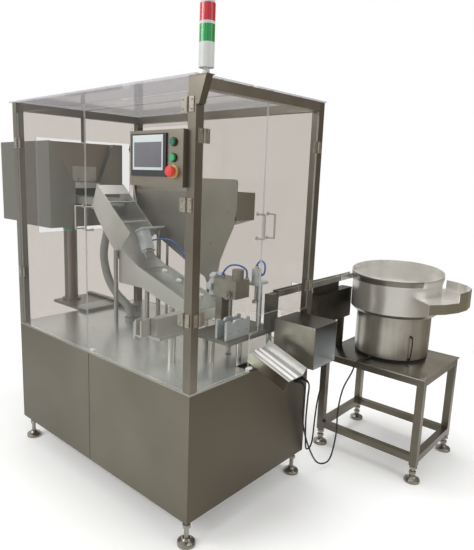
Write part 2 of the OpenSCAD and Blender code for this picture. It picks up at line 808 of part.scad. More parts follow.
// The spout's gate slides up its back plate
module hopper_gate() color(bright) to_row() {
    x0 = hop_x1 - spout_depth + seat;
    block([x0, spout_y + 4, hop_z + spout_high + 8], [x0 + 4, spout_y + spout_w - 4,
        hop_z + spout_high + 92]);
    block([x0, spout_y + 40, hop_z + spout_high + 88], [x0 + 18, spout_y + spout_w - 40,
        hop_z + spout_high + 92]);
}

tray_w = 120;
tray_y = mid_y + 16 - tray_w / 2;
tray_x0 = hop_x1 - 150;
tray_x1 = box_x + 35;
tray_z = hop_z + spout_low + 8;

module feed_tray() color(bright) to_row() difference() {
    block([tray_x0, tray_y, tray_z], [tray_x1, tray_y + tray_w, tray_z + 42]);
    block([tray_x0 + 2, tray_y + 2, tray_z + 3], [tray_x1 + 1, tray_y + tray_w - 2, tray_z + 43]);
}

module tray_drive() color([0.30, 0.33, 0.36]) to_row() {
    z0 = hop_z + plate_low;
    x0 = tray_x0 + 10;
    block([x0, tray_y + 5, z0], [x0 + 110, tray_y + tray_w - 5, tray_z - 32]);
    for (x = [x0 + 5, x0 + 85])
        block([x, tray_y + 15, tray_z - 32], [x + 14, tray_y + tray_w - 15, tray_z - seat]);
}

column_x = left - 218;
column_y = hopper_y + hopper_w / 2 - 24;

module hopper_column() color(steel) to_row() {
    plate_t = 16;
    plate_x1 = left + 72;
    base_d = column_d + 32;
    block([column_x - base_d / 2, column_y - 92, tz], [plate_x1, column_y + 148, tz + plate_t]);
    block([column_x - base_d / 2, column_y + 148, tz], [plate_x1 + 165, column_y + 178, tz + 30]);
    rod_z([column_x, column_y, tz + plate_t], base_d, 12);
    rod_z([column_x, column_y, tz], column_d, hopper_z - 12);
    block([column_x - 170, hopper_y, hop_z - 12], [hop_x1, hopper_y + hopper_w, hop_z]);
    block([column_x - 170, hopper_y + hopper_t, hop_z - 1],
        [hop_x1 - hopper_t, hopper_y + hopper_w - hopper_t, hop_z + plate_low]);
}

// PRODUCT TROUGH

trough_side = lift([[box_x, 743], [box_x + 284, 500], [box_x + 203, 415], [bend_x, bend_h], [end_x,
    end_h],
    [end_x, 132], [bend_x + 40, 235], [bend_x - 148, 233], [bend_x - 148, 355], [box_x + 90, 462],
    [box_x + 10, 548], [box_x - 47, 625]]);
trough_floor = lift(floor_pts);

// Height of the trough's floor at x on its lower stretch
function floor_at(x) = let (a = trough_floor[2],
    b = trough_floor[3]) a[1] + (b[1] - a[1]) * (x - a[0]) / (b[0] - a[0]);

// Point of the upper box's sloping top edge at x from its upper corner
function box_edge(x) = [box_x + x, tz + 743 - x * tan(box_slope)];

module trough_body() color(steel) to_row() {
    win = push_head / 2 + 4;
    difference() {
        for (y = [trough_y, far_y - trough_t]) plate_xz(y, trough_t) polygon(trough_side);
        block([push_x - win, trough_y - 1, push_z - win], [push_x + win, trough_y + trough_t + 1,
            push_z + win]);
        at_stop() translate([-stop_plate_w / 2 - seat, far_y - trough_t - mid_y - 8, -seat])
            cube([stop_plate_w + 2 * seat, trough_t + 4, stop_plate_t + 2 * seat]);
    }
    plate_xz(trough_y + trough_t - eps,
        trough_w - 2 * trough_t + 2 * eps) polygon(strip(trough_floor, -floor_t));
    plate_xz(trough_y + trough_t - eps, trough_w - 2 * trough_t + 2 * eps)
        polygon(strip([box_edge(6), box_edge(60)], -3));
    for (x = [100, 212]) rod_y(concat(box_edge(x)[0], trough_y + trough_t - eps,
        box_edge(x)[1] - 8), 10,
        trough_w - 2 * trough_t + 2 * eps);
    intersection() {
        translate([0, 0, tz + 600]) linear_extrude(143)
            polygon(strip([[box_x + 4, far_y + 74], [box_x + 130, far_y - trough_t]], -trough_t));
        plate_xz(far_y - trough_t, 90) polygon(trough_side);
    }
    translate(spigot) rotate([0, 180 + spigot_tilt, 0]) translate([0, 0, floor_t])
        cylinder(d = flex_d + 8, h = spigot_h);
}

cover_x0 = bend_x + 40;
function cover_at(x) = [x, tz + bend_h - rise * (x - bend_x)];

module trough_cover() color(clear) to_row() {
    plate_xz(trough_y, trough_w) polygon(strip([cover_at(cover_x0), cover_at(end_x - 2)], cover_t));
    plate_xz(trough_y, trough_w) polygon(strip([box_edge(110), box_edge(206)], 4));
    for (f = [0.14, 0.40, 0.77]) {
        p = cover_at(cover_x0 + f * (end_x - cover_x0));
        translate([p[0], mid_y + 10, p[1]]) rotate([0, slope, 0]) translate([0, 0, cover_t]) {
            cylinder(d = 14, h = 4);
            translate([0, 0, 4]) cylinder(d = 28, h = 8);
        }
    }
}

// The stop unit's own frame: z runs up its cylinder from the mounting plate
module at_stop() translate([stop_x, mid_y + 6, tz + stop_top]) rotate([0, -stop_tilt, 0]) children();

module stop_cylinder() color(bright) to_row() at_stop() {
    half_x = 24;
    half_y = 26;
    translate([-stop_plate_w / 2, -34, 0]) cube([stop_plate_w, stop_post_y - mid_y + 46, stop_plate_t]);
    difference() {
        translate([-half_x, -half_y, -stop_l]) cube([2 * half_x, 2 * half_y, stop_l]);
        for (y = [-15, 15]) rod_z([0, y, -stop_l - 1], stop_rod_d + 2 * run_gap, 81);
        for (s = [-1, 1]) translate([s * half_x - 2, -6, -stop_l - 1]) cube([4, 12, stop_l - 14]);
    }
}

module stop_gate() color(steel) to_row() at_stop() {
    for (y = [-15, 15]) rod_z([0, y, -stop_l - 8], stop_rod_d, 78);
    translate([-20, -30, -stop_l - 14]) cube([40, 60, 8]);
    translate([-4, -30, -stop_l - 44]) cube([8, 60, 32]);
}

module flex_duct() color([0.62, 0.62, 0.60]) to_row() {
    hose(flex_route, flex_d, 4, [0, 1, 0], 12);
    p = flex_route[len(flex_route) - 1];
    translate([p[0], p[1], tz]) cylinder(d = flex_d + 20, h = 16);
}

// TUBE BIN

function corner_arc(c, r) = [for (a = [0:15:90]) c + r * [cos(a), sin(a)]];
bin_face = concat(bin_face_right, corner_arc([bin_x1 - bin_corner, bin_top - bin_corner], bin_corner),
    bin_face_left);

// A tall front plate, a lower back plate and two bent sheets that lead to a narrow outlet
module tube_bin() color(steel) to_row() {
    plate_xz(bin_y0, bin_t) polygon(lift(bin_face));
    plate_xz(bin_y1 - bin_t, bin_t) polygon(lift(concat(bin_slide, bin_neck)));
    for (line = [bin_slide, bin_neck])
        plate_xz(bin_y0 + bin_t - eps, bin_l + 2 * eps) polygon(lift(strip(line, bin_t)));
}

// Height of a bent sheet's underside over the table at x, on the stretch from point a to point b
function under(a, b, x) = a[1] + (b[1] - a[1]) * (x - a[0]) / (b[0] - a[0]);
bin_post_d = 14;
bin_post_r = bin_post_d / 2;
bin_posts = [
    [bin_at(497), bin_y0 + 15, under(bin_slide[1], bin_slide[2], bin_at(497) + bin_post_r)],
    [bin_at(393), bin_y1 - 24, under(bin_slide[1], bin_slide[2], bin_at(393) + bin_post_r)],
    [bin_at(187), bin_y0 + 15, under(bin_neck[1], bin_neck[2], bin_at(187) - bin_post_r)]];
station_posts = [[-187, 322], [-282, 382], [-100, 402], [-100, 620]];

module table_posts() color(bright) to_row() {
    r = rod_d / 2;
    for (p = station_posts) rod_z([p[0], p[1], tz], rod_d, station_z);
    for (p = bin_posts) rod_z([p[0], p[1], tz], bin_post_d, p[2] - seat);
    rod_z([box_x + 181, trough_y - r - seat, tz], rod_d, 405);
    for (p = [[bend_x + 12, mid_y - 30], [bend_x + 0.36 * (end_x - bend_x), mid_y + 10]])
        rod_z([p[0], p[1], tz], rod_d, floor_at(p[0] + r) - floor_t / cos(slope) - seat - tz);
    stop_under = stop_top + (stop_post_x - r - stop_x) * tan(stop_tilt);
    rod_z([stop_post_x, stop_post_y, tz], rod_d, stop_under - seat);
}

// FILLING AND CAPPING STATION

module station_plate() color(bright) to_row() difference() {
    union() {
        block([st_x0, st_y0, st_z], [st_x1, st_y1, st_top]);
        for (x = [-160, -107]) block([x, 310, st_top], [x + 12, 465, st_top + 83]);
        block([track_x - track_w / 2, st_y1 - 60, st_top], [st_x1, st_y1 - 3, track_z + 18]);
    }
    for (y = [350, 425]) rod_x([-161, y, st_top + 88], pocket_d, 67);
    rod_z([shaft_x, shaft_y, st_z - 1], shaft_d + 2 * run_gap, station_t + 2);
    for (y = [332, 388, 443]) rod_x([-110, y, st_top + 30], 7, 20);
}

module index_housing() color(steel) to_row() {
    knob_d = 42;
    difference() {
        union() {
            block([house_x0, house_y0, house_z], [house_x1, house_y1, house_z + house_h]);
            block([house_x0 + 2, house_y0 + 15, st_top], [house_x0 + 38, house_y1 - 10, house_z + 1]);
        }
        rod_x([house_x0 - 1, wheel_y, wheel_z], shaft_d + 2 * run_gap, 41);
        rod_z([shaft_x, shaft_y, house_z - 1], shaft_d + 2 * run_gap, 31);
    }
    rod_z([house_x1 - 35, house_y0 + 55, house_z + house_h], 52, 44);
    rod_y([house_x0 + 88, house_y0 - 14, house_z + 18], knob_d, 14);
    rod_y([house_x0 + 88, house_y0 - 20, house_z + 18], knob_d * 0.55, 8);
}

module tube_wheel() color(bright) to_row() {
    x0 = house_x0 - 5 - wheel_t;
    difference() {
        rod_x([x0, wheel_y, wheel_z], wheel_d, wheel_t);
        for (i = [0:pockets - 1]) let (a = 360 * i / pockets + 30)
            rod_x([x0 - 1, wheel_y + wheel_d / 2 * cos(a), wheel_z + wheel_d / 2 * sin(a)],
                pocket_d, wheel_t + 2);
    }
    rod_x([x0 - 3, wheel_y, wheel_z], shaft_d, wheel_t + 46);
}

ram_bore = 36;
ram_low = arm_z + arm_t;

module cap_cylinder() color([0.78, 0.82, 0.84]) to_row() difference() {
    union() {
        rod_z([ram_x - 20, ram_y + 55, st_top], rod_d, arm_z - st_top);
        block([ram_x - 35, ram_y - 20, arm_z], [ram_x + 15, ram_y + 70, ram_low]);
        rod_z([ram_x, ram_y, ram_low], ram_body_d, 60);
        rod_z([ram_x, ram_y, ram_low + 60], ram_body_d - 8, 6);
    }
    rod_z([ram_x, ram_y, arm_z - 1], ram_d + 2 * run_gap, arm_t + 2);
    rod_z([ram_x, ram_y, ram_low + eps], ram_bore, 58);
}

module cap_ram() color(bright) to_row() {
    piston_z = ram_low + ram_travel + 4;
    rod_z([ram_x, ram_y, arm_z - 72], ram_d, piston_z + 10 - arm_z + 72);
    rod_z([ram_x, ram_y, piston_z], ram_bore - 1, 10);
    rod_z([ram_x, ram_y, arm_z - 82], 30, 12);
}

module pusher_bracket() color(steel) to_row() {
    col = [push_x + 20, 195];
    z0 = tz + 115;
    z1 = push_z + 22;
    rod_z([col[0], col[1], tz], 36, 115);
    block([push_x - 34, 105, z0], [push_x + 44, 270, z0 + 12]);
    difference() {
        block([push_x - 20, 110, z0 + 12], [push_x + 20, 270, z1]);
        rod_y([push_x, 150, push_z], push_d + 2 * run_gap, 121);
        for (x = [push_x - 21, push_x + 19]) block([x, 120, push_z - 30], [x + 2, 260, push_z - 20]);
    }
    block([push_x - 32, 24, z0 + 12], [push_x - 22, 290, z1 - 5]);
    for (x = [push_x - 22 - eps, push_x + 12]) block([x, 24, z0 + 34], [x + 8, 62, z1 + 6]);
    block([push_x - 32, 24, z0 + 26], [push_x + 20, 62, z0 + 34 + eps]);
}

module pusher_rod() color(bright) to_row() {
    half = push_head / 2;
    rod_y([push_x, 158, push_z], push_d, 175);
    block([push_x - half, 330, push_z - half], [push_x + half, 352, push_z + half]);
}

// OUTFEED

module outfeed_chute() color(bright) to_row() {
    translate([chute_x, chute_y, chute_z]) rotate([0, chute_slope, 0])
        plate_yz(0, chute_l) polygon(strip(chute_pts, sheet_2));
    leg = [chute_y + 0.68 * chute_w, chute_y + 0.9 * chute_w];
    block([chute_x + 3, leg[0], tz], [chute_x + 6, leg[1], chute_z - 0.6]);
    block([chute_x + 3, leg[0], tz], [chute_x + 22, leg[1], tz + 3]);
}

module box_chute() color(steel) to_row() difference() {
    block([-duct_in, duct_y, tz], [duct_out, duct_y + duct_w, tz + duct_h]);
    block([-duct_in - 1, duct_y + sheet_2, tz + sheet_2],
        [duct_out + 1, duct_y + duct_w - sheet_2, tz + duct_h - sheet_2]);
}

// CAP FEEDER

module feeder_stand() color(dark_steel) to_row() {
    x0 = stand_x + 6;
    x1 = stand_x + stand_l - 6;
    y0 = stand_y + 6;
    y1 = stand_y + stand_w - 6;
    z0 = floor_z + stand_foot_h;
    z1 = stand_z - stand_top_t;
    block([stand_x, stand_y, z1], [stand_x + stand_l, stand_y + stand_w, stand_z]);
    for (x = [x0, x1 - stand_tube], y = [y0, y1 - stand_tube])
        block([x, y, z0], [x + stand_tube, y + stand_tube, z1 + eps]);
    for (z = [z0 + 16, z1 - stand_tube]) {
        for (y = [y0, y1 - stand_tube]) block([x0, y, z], [x1, y + stand_tube, z + stand_tube]);
        for (x = [x0, x1 - stand_tube]) block([x, y0, z], [x + stand_tube, y1, z + stand_tube]);
    }
}

module bowl_drum() color(bright) to_row() translate([bowl_x, bowl_y, 0]) {
    r = drum_d / 2;
    rod_z([0, 0, stand_z], drum_d - 2 * ring_in, ring_h);
    translate([0, 0, drum_z]) rotate_extrude() polygon([[r - 14, 0], [r, 0], [r, drum_h], [0, drum_h],
        [0, drum_h - 6], [r - 3, drum_h - 6], [r - 3, 6], [r - 14, 6]]);
}

// The bowl's spiral ledge, one ring of four corners per step
function ledge(steps, turn) = [for (i = [0:steps])
    let (a = -150 + turn * i / steps, z = 34 + (bowl_h - 50) * i / steps, ro = bowl_r - bowl_t + 1,
        ri = ro - 36)
    [for (p = [[ri, z - 3], [ri, z], [ro, z], [ro, z - 3]]) [p[0] * cos(a), p[0] * sin(a), p[1]]]];

// The return tail's outer line, bent from flat plates: radius and angle of each bend
tail_bends = [[tail_r, -42], [tail_r, -28], [tail_r, -14], [tail_r, 0], [tail_r, 14], [tail_r - 17, 26],
    [tail_r - 44, 38], [tail_r - 74, 50]];
tail_line = [for (p = tail_bends) p[0] * [cos(p[1]), sin(p[1])]];

module bowl() color(bright) to_row() translate([bowl_x, bowl_y, bowl_z]) {
    r = bowl_r;
    low = 34;
    tilt = 5;
    rotate_extrude() polygon([[0, 0], [r - 18, 0], [r, 18], [r, bowl_h], [r - bowl_t, bowl_h],
        [r - bowl_t, low], [r * 0.6, low - 8], [0, low + 14]]);
    difference() {
        rotate_extrude() polygon([[r - 1, bowl_h - 32], [r, bowl_h - 32], [r + rim_w, bowl_h - 4],
            [r + rim_w, bowl_h + rim_h], [r + rim_w - 3, bowl_h + rim_h], [r + rim_w - 3, bowl_h - 3],
            [r - 1, bowl_h - 22]]);
        rotate([0, 0, 22]) translate([0, -r - rim_w, bowl_h]) rotate([tilt, 0, 0])
            translate([-2 * r, -50, 0]) cube([4 * r, 4 * r, 3 * rim_h]);
    }
    loft(ledge(60, 450));
    inner = [for (a = [50:-8:-46]) (r - 1) * [cos(max(a, -42)), sin(max(a, -42))]];
    translate([0, 0, tail_z]) linear_extrude(3) polygon(concat(tail_line, inner));
    translate([0, 0, tail_z - 46]) linear_extrude(49) polygon(strip(tail_line, 3));
    translate([0, 0, tail_z]) linear_extrude(50)
        polygon(strip([for (i = [2:len(tail_line) - 1]) tail_line[i]], 3));
    sx = -r - 23;
    sw = track_w / 2;
    sz = track_z - bowl_z;
    block([sx - sw, -182, sz], [sx + sw, -20, sz + 4]);
    for (x = [sx - sw, sx + sw - 3]) block([x, -182, sz], [x + 3, -20, sz + track_h]);
    block([sx, -58, sz], [-r + 12, -20, sz + 4]);
}

module cap_track() color(bright) to_row() difference() {
    hw = track_w / 2;
    block([track_x - hw, track_y0, track_z], [track_x + hw, track_y1 - 2, track_z + track_h]);
    block([track_x - hw + 7, track_y0 - 1, track_z + 10], [track_x + hw - 7, track_y1,
        track_z + track_h + 1]);
}

module track_drive() color(dark_steel) to_row() {
    hw = 30;
    pw = 14;
    post_y = drive_y1 - 45;
    block([track_x - hw, drive_y0, drive_z - drive_h], [track_x + hw, drive_y1, drive_z]);
    block([track_x - pw, drive_y0 + 12, drive_z - eps], [track_x + pw, track_y1 - 8, track_z - seat]);
    block([track_x - pw, post_y - pw, stand_z], [track_x + pw, post_y + pw, drive_z - drive_h + eps]);
}

// CABLES AND HOSES

module bowl_cable() color([0.06, 0.06, 0.06]) to_row() {
    hose(bowl_route, cable_d, 4, [1, 0, 0]);
    hose(lead_route, cable_d * 0.75, 4, [1, 0, 0]);
}

module track_cable() color([0.06, 0.06, 0.06]) to_row() hose(track_route, cable_d, 4, [1, 0, 0]);

module cable_glands() color([0.10, 0.10, 0.10]) to_row()
    for (y = [bowl_gland_y, track_gland_y]) {
        rod_x([-panel_t - 8, y, gland_z], gland_d - 2 * seat, panel_t + 8);
        rod_x([0, y, gland_z], gland_d + 8, 5);
        rod_x([5, y, gland_z], gland_d, gland_out - 5);
    }

module air_hoses() color([0.10, 0.35, 0.75]) to_row() {
    hose(hose_gate, hose_d, 4, [0, 1, 0.2]);
    hose(hose_arc, hose_d, 4, [0, 1, 0]);
    hose(hose_ram, hose_d, 4, [0, 1, 0]);
}

base_frame();
table_top();
cover_panels();
levelling_feet();
gear_motor();
drive_shaft();
guard_posts();
guard_rails();
roof_sheet();
left_guard_sheet();
rear_guard_sheet();
hinge_leaves();
front_left_door();
front_left_fittings();
front_right_door();
front_right_fittings();
end_near_door();
end_near_fittings();
end_far_door();
end_far_fittings();
panel_box();
touch_screen();
start_button();
reset_button();
estop_button();
button_collars();
tower_bracket();
tower_base();
green_lens();
red_lens();
hopper_shell();
hopper_gate();
feed_tray();
tray_drive();
hopper_column();
trough_body();
trough_cover();
stop_cylinder();
stop_gate();
flex_duct();
tube_bin();
table_posts();
station_plate();
index_housing();
tube_wheel();
cap_cylinder();
cap_ram();
pusher_bracket();
pusher_rod();
outfeed_chute();
box_chute();
feeder_stand();
bowl_drum();
bowl();
cap_track();
track_drive();
bowl_cable();
track_cable();
cable_glands();
air_hoses();
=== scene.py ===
# %% [markdown]
# # A tube filling machine
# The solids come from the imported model, in metres, with +Z up. This lesson gives them their finishes, adds
# the small pieces that a plain solid lacks, and sets up the camera and the light.

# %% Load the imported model
import math

import bmesh
import bpy
from mathutils import Matrix, Vector


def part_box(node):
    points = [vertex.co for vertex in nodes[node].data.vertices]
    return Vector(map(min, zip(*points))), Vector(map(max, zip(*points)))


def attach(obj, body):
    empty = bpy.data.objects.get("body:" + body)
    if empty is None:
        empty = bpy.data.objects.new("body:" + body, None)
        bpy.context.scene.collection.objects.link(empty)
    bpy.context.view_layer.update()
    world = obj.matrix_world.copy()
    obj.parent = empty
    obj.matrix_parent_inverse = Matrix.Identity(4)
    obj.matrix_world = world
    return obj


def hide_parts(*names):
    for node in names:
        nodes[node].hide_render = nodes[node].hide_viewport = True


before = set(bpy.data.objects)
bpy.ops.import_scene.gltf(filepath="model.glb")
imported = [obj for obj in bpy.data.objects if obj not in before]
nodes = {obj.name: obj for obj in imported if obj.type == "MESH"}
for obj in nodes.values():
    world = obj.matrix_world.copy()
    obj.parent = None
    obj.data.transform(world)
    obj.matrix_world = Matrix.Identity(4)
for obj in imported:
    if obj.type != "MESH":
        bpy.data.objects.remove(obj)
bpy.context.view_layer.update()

# %% [markdown]
# The drawing of this machine measures from the front right corner of the cabinet, in millimetres. One
# function turns such a place into the scene's metres, so every number below can be compared with the drawing.

# %% Places on the drawing
CORNER = Vector((0.701, -0.795, 0.121))
TABLE = 540.0
GUARD_TOP = 1676.0


def at(x, y, z):
    return CORNER + Vector((x, y, z)) / 1000.0


print("cabinet corner at", tuple(at(0, 0, 0)))

# %% [markdown]
# The camera stands at eye height, in front of the near corner. The lens and the shift were worked out from the
# machine's own straight edges.

# %% Camera
VIEW_RIGHT = Vector((0.7247087, 0.6885410, 0.0266177))
VIEW_DOWN = Vector((0.1434156, -0.1129404, -0.9831970))
VIEW_AHEAD = Vector((-0.6739653, 0.7163489, -0.1805965))
VIEW_PLACE = Vector((1.967987, -2.079117, 1.471993))

lens = bpy.data.cameras.new("machine_camera")
lens.sensor_width = 36.0
lens.lens = 33.8115
lens.shift_x = 0.05897
lens.shift_y = -0.01115
lens.clip_end = 200.0
camera = bpy.data.objects.new("machine_camera", lens)
turn = Matrix((VIEW_RIGHT, -VIEW_DOWN, -VIEW_AHEAD)).transposed().to_4x4()
camera.matrix_world = Matrix.Translation(VIEW_PLACE) @ turn
bpy.context.scene.collection.objects.link(camera)
bpy.context.scene.camera = camera
bpy.context.scene.view_settings.view_transform = "Standard"
print("camera at", tuple(camera.location), "lens", lens.lens)

# %% [markdown]
# Four helpers serve every finish. One turns a colour as a painter writes it into the linear light that the renderer
# counts in. One adds a node with its settings and links, whatever kind of node it is, and one starts an empty finish.
# The last lays a tone over a colour where every test of a list holds, as a painter would with a mask.


# %% Helpers for the finishes
def colour(text):
    parts = [int(text[i:i + 2], 16) / 255 for i in (1, 3, 5)]
    return tuple(c / 12.92 if c <= 0.04045 else ((c + 0.055) / 1.055) ** 2.4 for c in parts) + (1.0,)


def add(tree, kind, inputs=None, **settings):
    node = tree.nodes.new(kind)
    for name, value in settings.items():
        setattr(node, name, value)
    for socket, value in (inputs or {}).items():
        if isinstance(value, bpy.types.NodeSocket):
            tree.links.new(value, node.inputs[socket])
        else:
            node.inputs[socket].default_value = value
    return node


def blank(name):
    material = bpy.data.materials.new(name)
    material.use_nodes = True
    material.node_tree.nodes.clear()
    return material, material.node_tree


def tone_where(tree, base, tone, tests, share=1.0):
    """A test is a value, GREATER_THAN or LESS_THAN, and a limit. The share is how much of the tone shows there."""
    for value, kind, limit in tests:
        held = add(tree, "ShaderNodeMath", {0: value, 1: limit}, operation=kind)
        share = add(tree, "ShaderNodeMath", {0: share, 1: held.outputs[0]}, operation="MULTIPLY").outputs[0]
    return add(tree, "ShaderNodeMix", {0: share, 6: base, 7: tone}, data_type="RGBA").outputs[2]


finishes = {}
print("finish helpers ready")

# %% [markdown]
# Stainless sheet and tube. The mill rolls the sheet and a belt then brushes it, which leaves fine strokes in one
# direction. To the eye that is a soft, streaked mirror: clouds of light and shade with strokes across them. The clouds
# are painted light and shade in the colour, a painted reflection. Real strokes are a tenth of a millimetre wide; here
# they are about a millimetre, because finer ones would not show.


# %% Brushed stainless steel
def brushed(name, light, dark, stroke, rough, cloud_mm=240.0, stroke_mm=1.2, length_mm=90.0, depth=0.2,
            grain_share=0.3, metal=0.85, wear=0.05, shade=None):
    material, tree = blank(name)
    coords = add(tree, "ShaderNodeTexCoord")
    place = coords.outputs["Object"]
    across, along = 1000.0 / stroke_mm, 1000.0 / length_mm
    scale = [along if axis == stroke else across for axis in "xyz"]
    grain_place = add(tree, "ShaderNodeMapping", {"Vector": place, "Scale": scale})
    grain = add(tree, "ShaderNodeTexNoise", {"Vector": grain_place.outputs[0], "Scale": 1.0, "Detail": 3.0,
                                             "Roughness": 0.55})
    cloud = add(tree, "ShaderNodeTexNoise", {"Vector": place, "Scale": 1000.0 / cloud_mm, "Detail": 2.0,
                                             "Roughness": 0.5})
    tone = add(tree, "ShaderNodeMix", {0: grain_share, 2: cloud.outputs["Fac"], 3: grain.outputs["Fac"]})
    share = add(tree, "ShaderNodeMapRange", {"Value": tone.outputs[0], "From Min": 0.34, "From Max": 0.66})
    paint = add(tree, "ShaderNodeMix", {0: share.outputs[0], 6: colour(dark), 7: colour(light)},
                data_type="RGBA").outputs[2]
    # The shade lays a painted tone on the faces that look along its heading: painted shade where it is darker, painted
    # light where it is paler.
    if shade:
        heading, low, high, shaded = shade
        facing = add(tree, "ShaderNodeVectorMath", {0: coords.outputs["Normal"], 1: heading}, operation="DOT_PRODUCT")
        turned_off = add(tree, "ShaderNodeMapRange", {"Value": facing.outputs["Value"], "From Min": low,
                                                      "From Max": high})
        paint = add(tree, "ShaderNodeMix", {0: turned_off.outputs[0], 6: paint, 7: colour(shaded)},
                    data_type="RGBA").outputs[2]
    shader = add(tree, "ShaderNodeBsdfPrincipled", {"Base Color": paint, "Roughness": rough, "Metallic": metal})
    if wear:
        worn = add(tree, "ShaderNodeMapRange", {"Value": grain.outputs["Fac"], "From Min": 0.3, "From Max": 0.7,
                                                "To Min": rough - wear, "To Max": rough + wear})
        tree.links.new(worn.outputs[0], shader.inputs["Roughness"])
    if depth:
        bump = add(tree, "ShaderNodeBump", {"Height": grain.outputs["Fac"], "Strength": depth, "Distance": 0.0002})
        tree.links.new(bump.outputs[0], shader.inputs["Normal"])
    add(tree, "ShaderNodeOutputMaterial", {"Surface": shader.outputs[0]})
    finishes[name] = material
    return paint, shader, tree, place


print("brushed steel ready")

# %% [markdown]
# The same steel looks different from piece to piece. Tubes are dull and warm, the table is bright, and castings are
# dark. Calm sheets have an even polish, with no strokes in it. Some faces mirror darker surroundings, so they get a
# painted shade: the table's sides and the box chute's top. The bin's right faces get painted light instead, and the
# rails are a lighter copy of the tube steel, also painted light.

# %% Steels of the machine
UP, FRONT, RIGHT = (0.0, 0.0, 1.0), (0.0, -1.0, 0.0), (1.0, 0.0, 0.0)
brushed("tube_steel", "#7c766b", "#666158", "z", 0.34, stroke_mm=0.9)
brushed("rail_steel", "#8f897e", "#78736a", "x", 0.36, stroke_mm=0.9)
brushed("stand_steel", "#827b6f", "#696459", "z", 0.34, stroke_mm=0.9)
brushed("table_sheet", "#eff5f3", "#e2e9e7", "x", 0.24, stroke_mm=2.0, cloud_mm=300.0, depth=0.0, grain_share=0.15,
        wear=0.0, shade=(UP, 0.6, 0.4, "#8f8c82"))
brushed("trough_sheet", "#dcdbd6", "#c6c5bf", "x", 0.32, depth=0.0, metal=0.7, wear=0.0)
brushed("bin_sheet", "#a29f96", "#8d8a82", "z", 0.38, cloud_mm=300.0, depth=0.05, shade=(RIGHT, 0.6, 0.8, "#b5b2aa"))
brushed("panel_sheet", "#8b8579", "#766f64", "x", 0.36)
# The drum's strokes are sixty millimetres wide: painted upright streaks of reflection.
brushed("drum_sheet", "#c6c2b9", "#8f8b81", "z", 0.33, cloud_mm=160.0, stroke_mm=60.0, length_mm=900.0, depth=0.0,
        grain_share=0.6, wear=0.0)
brushed("track_sheet", "#b9b8b3", "#9d9c96", "y", 0.30, cloud_mm=120.0, stroke_mm=3.0, depth=0.0, grain_share=0.05,
        wear=0.0)
brushed("box_sheet", "#9a968b", "#827e74", "z", 0.30, cloud_mm=160.0, depth=0.0, grain_share=0.1, wear=0.0,
        shade=(UP, 0.6, 0.8, "#4b4842"))
brushed("turned_bar", "#c6c4be", "#9b9891", "x", 0.22, stroke_mm=0.8, length_mm=30.0, depth=0.0, wear=0.0)
brushed("housing_sheet", "#aba79e", "#949088", "z", 0.33, cloud_mm=60.0, depth=0.0, metal=0.7, wear=0.0)
brushed("foot_steel", "#a09c94", "#7e7a71", "z", 0.26, cloud_mm=60.0, depth=0.0, wear=0.0)
brushed("hinge_sheet", "#a7a195", "#8d877b", "z", 0.34, cloud_mm=30.0, depth=0.0)
brushed("drive_casting", "#57534a", "#45413a", "z", 0.36, cloud_mm=90.0)
print("steels:", len(finishes))

# %% [markdown]
# The plate on the feeder's stand is smoother than the tubes under it. Its colour carries a painted reflection: dark at
# its left end, where it mirrors the cabinet, and pale at its right end, where it mirrors open light.

# %% Stand top sheet
stand_low, stand_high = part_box("feeder_stand")
paint, shader, tree, place = brushed("stand_top_sheet", "#b0aca2", "#938f85", "x", 0.22, cloud_mm=200.0, depth=0.0,
                                     wear=0.0)
split = add(tree, "ShaderNodeSeparateXYZ", {0: place})
painted_shade_leftward = add(tree, "ShaderNodeMapRange", {"Value": split.outputs["X"], "From Min": stand_high.x,
                                            "From Max": stand_low.x})
painted_light_grade = add(tree, "ShaderNodeMix", {0: painted_shade_leftward.outputs[0], 6: paint, 7: colour("#2a2825")}, data_type="RGBA")
tree.links.new(painted_light_grade.outputs[2], shader.inputs["Base Color"])
print("stand top sheet ready")

# %% [markdown]
# The bowl is bright inside, while its outer faces carry a painted shade, a painted reflection of darker surroundings:
# most of all the flared band under the rim, the bevel at the foot and the plates of the tail. The distance from the
# bowl's axis, the height and the direction a face looks pick these out. Its wide upright strokes are painted streaks
# of reflection.

# %% Bowl sheet
BOWL_AXIS = at(154, 1407, 0)
BOWL_FOOT = at(0, 0, 656.3).z
BEVEL_TOP, FLARE_FOOT = BOWL_FOOT + 0.0178, BOWL_FOOT + 0.163
FLARE_RADIUS, TAIL_RADIUS = 0.2266, 0.236
TAIL_HEADING, TAIL_SPREAD = (0.985, 0.174, 0.0), 0.72
paint, shader, tree, place = brushed("bowl_sheet", "#f4f3f0", "#e2e0db", "z", 0.26, cloud_mm=160.0, stroke_mm=60.0,
                                     length_mm=900.0, depth=0.0, grain_share=0.5, wear=0.0, metal=0.65)
offset = add(tree, "ShaderNodeVectorMath", {0: place, 1: (BOWL_AXIS.x, BOWL_AXIS.y, 0.0)}, operation="SUBTRACT")
split = add(tree, "ShaderNodeSeparateXYZ", {0: offset.outputs[0]})
flat = add(tree, "ShaderNodeCombineXYZ", {"X": split.outputs["X"], "Y": split.outputs["Y"]}).outputs[0]
radius = add(tree, "ShaderNodeVectorMath", {0: flat}, operation="LENGTH").outputs["Value"]
heading = add(tree, "ShaderNodeVectorMath", {0: flat}, operation="NORMALIZE").outputs[0]
normal = add(tree, "ShaderNodeTexCoord").outputs["Normal"]
facing = add(tree, "ShaderNodeVectorMath", {0: normal, 1: heading}, operation="DOT_PRODUCT")
tailward = add(tree, "ShaderNodeVectorMath", {0: heading, 1: TAIL_HEADING}, operation="DOT_PRODUCT")
height = split.outputs["Z"]
outer = (facing.outputs["Value"], "GREATER_THAN", 0.2)
tail = [outer, (radius, "GREATER_THAN", TAIL_RADIUS), (height, "LESS_THAN", FLARE_FOOT)]
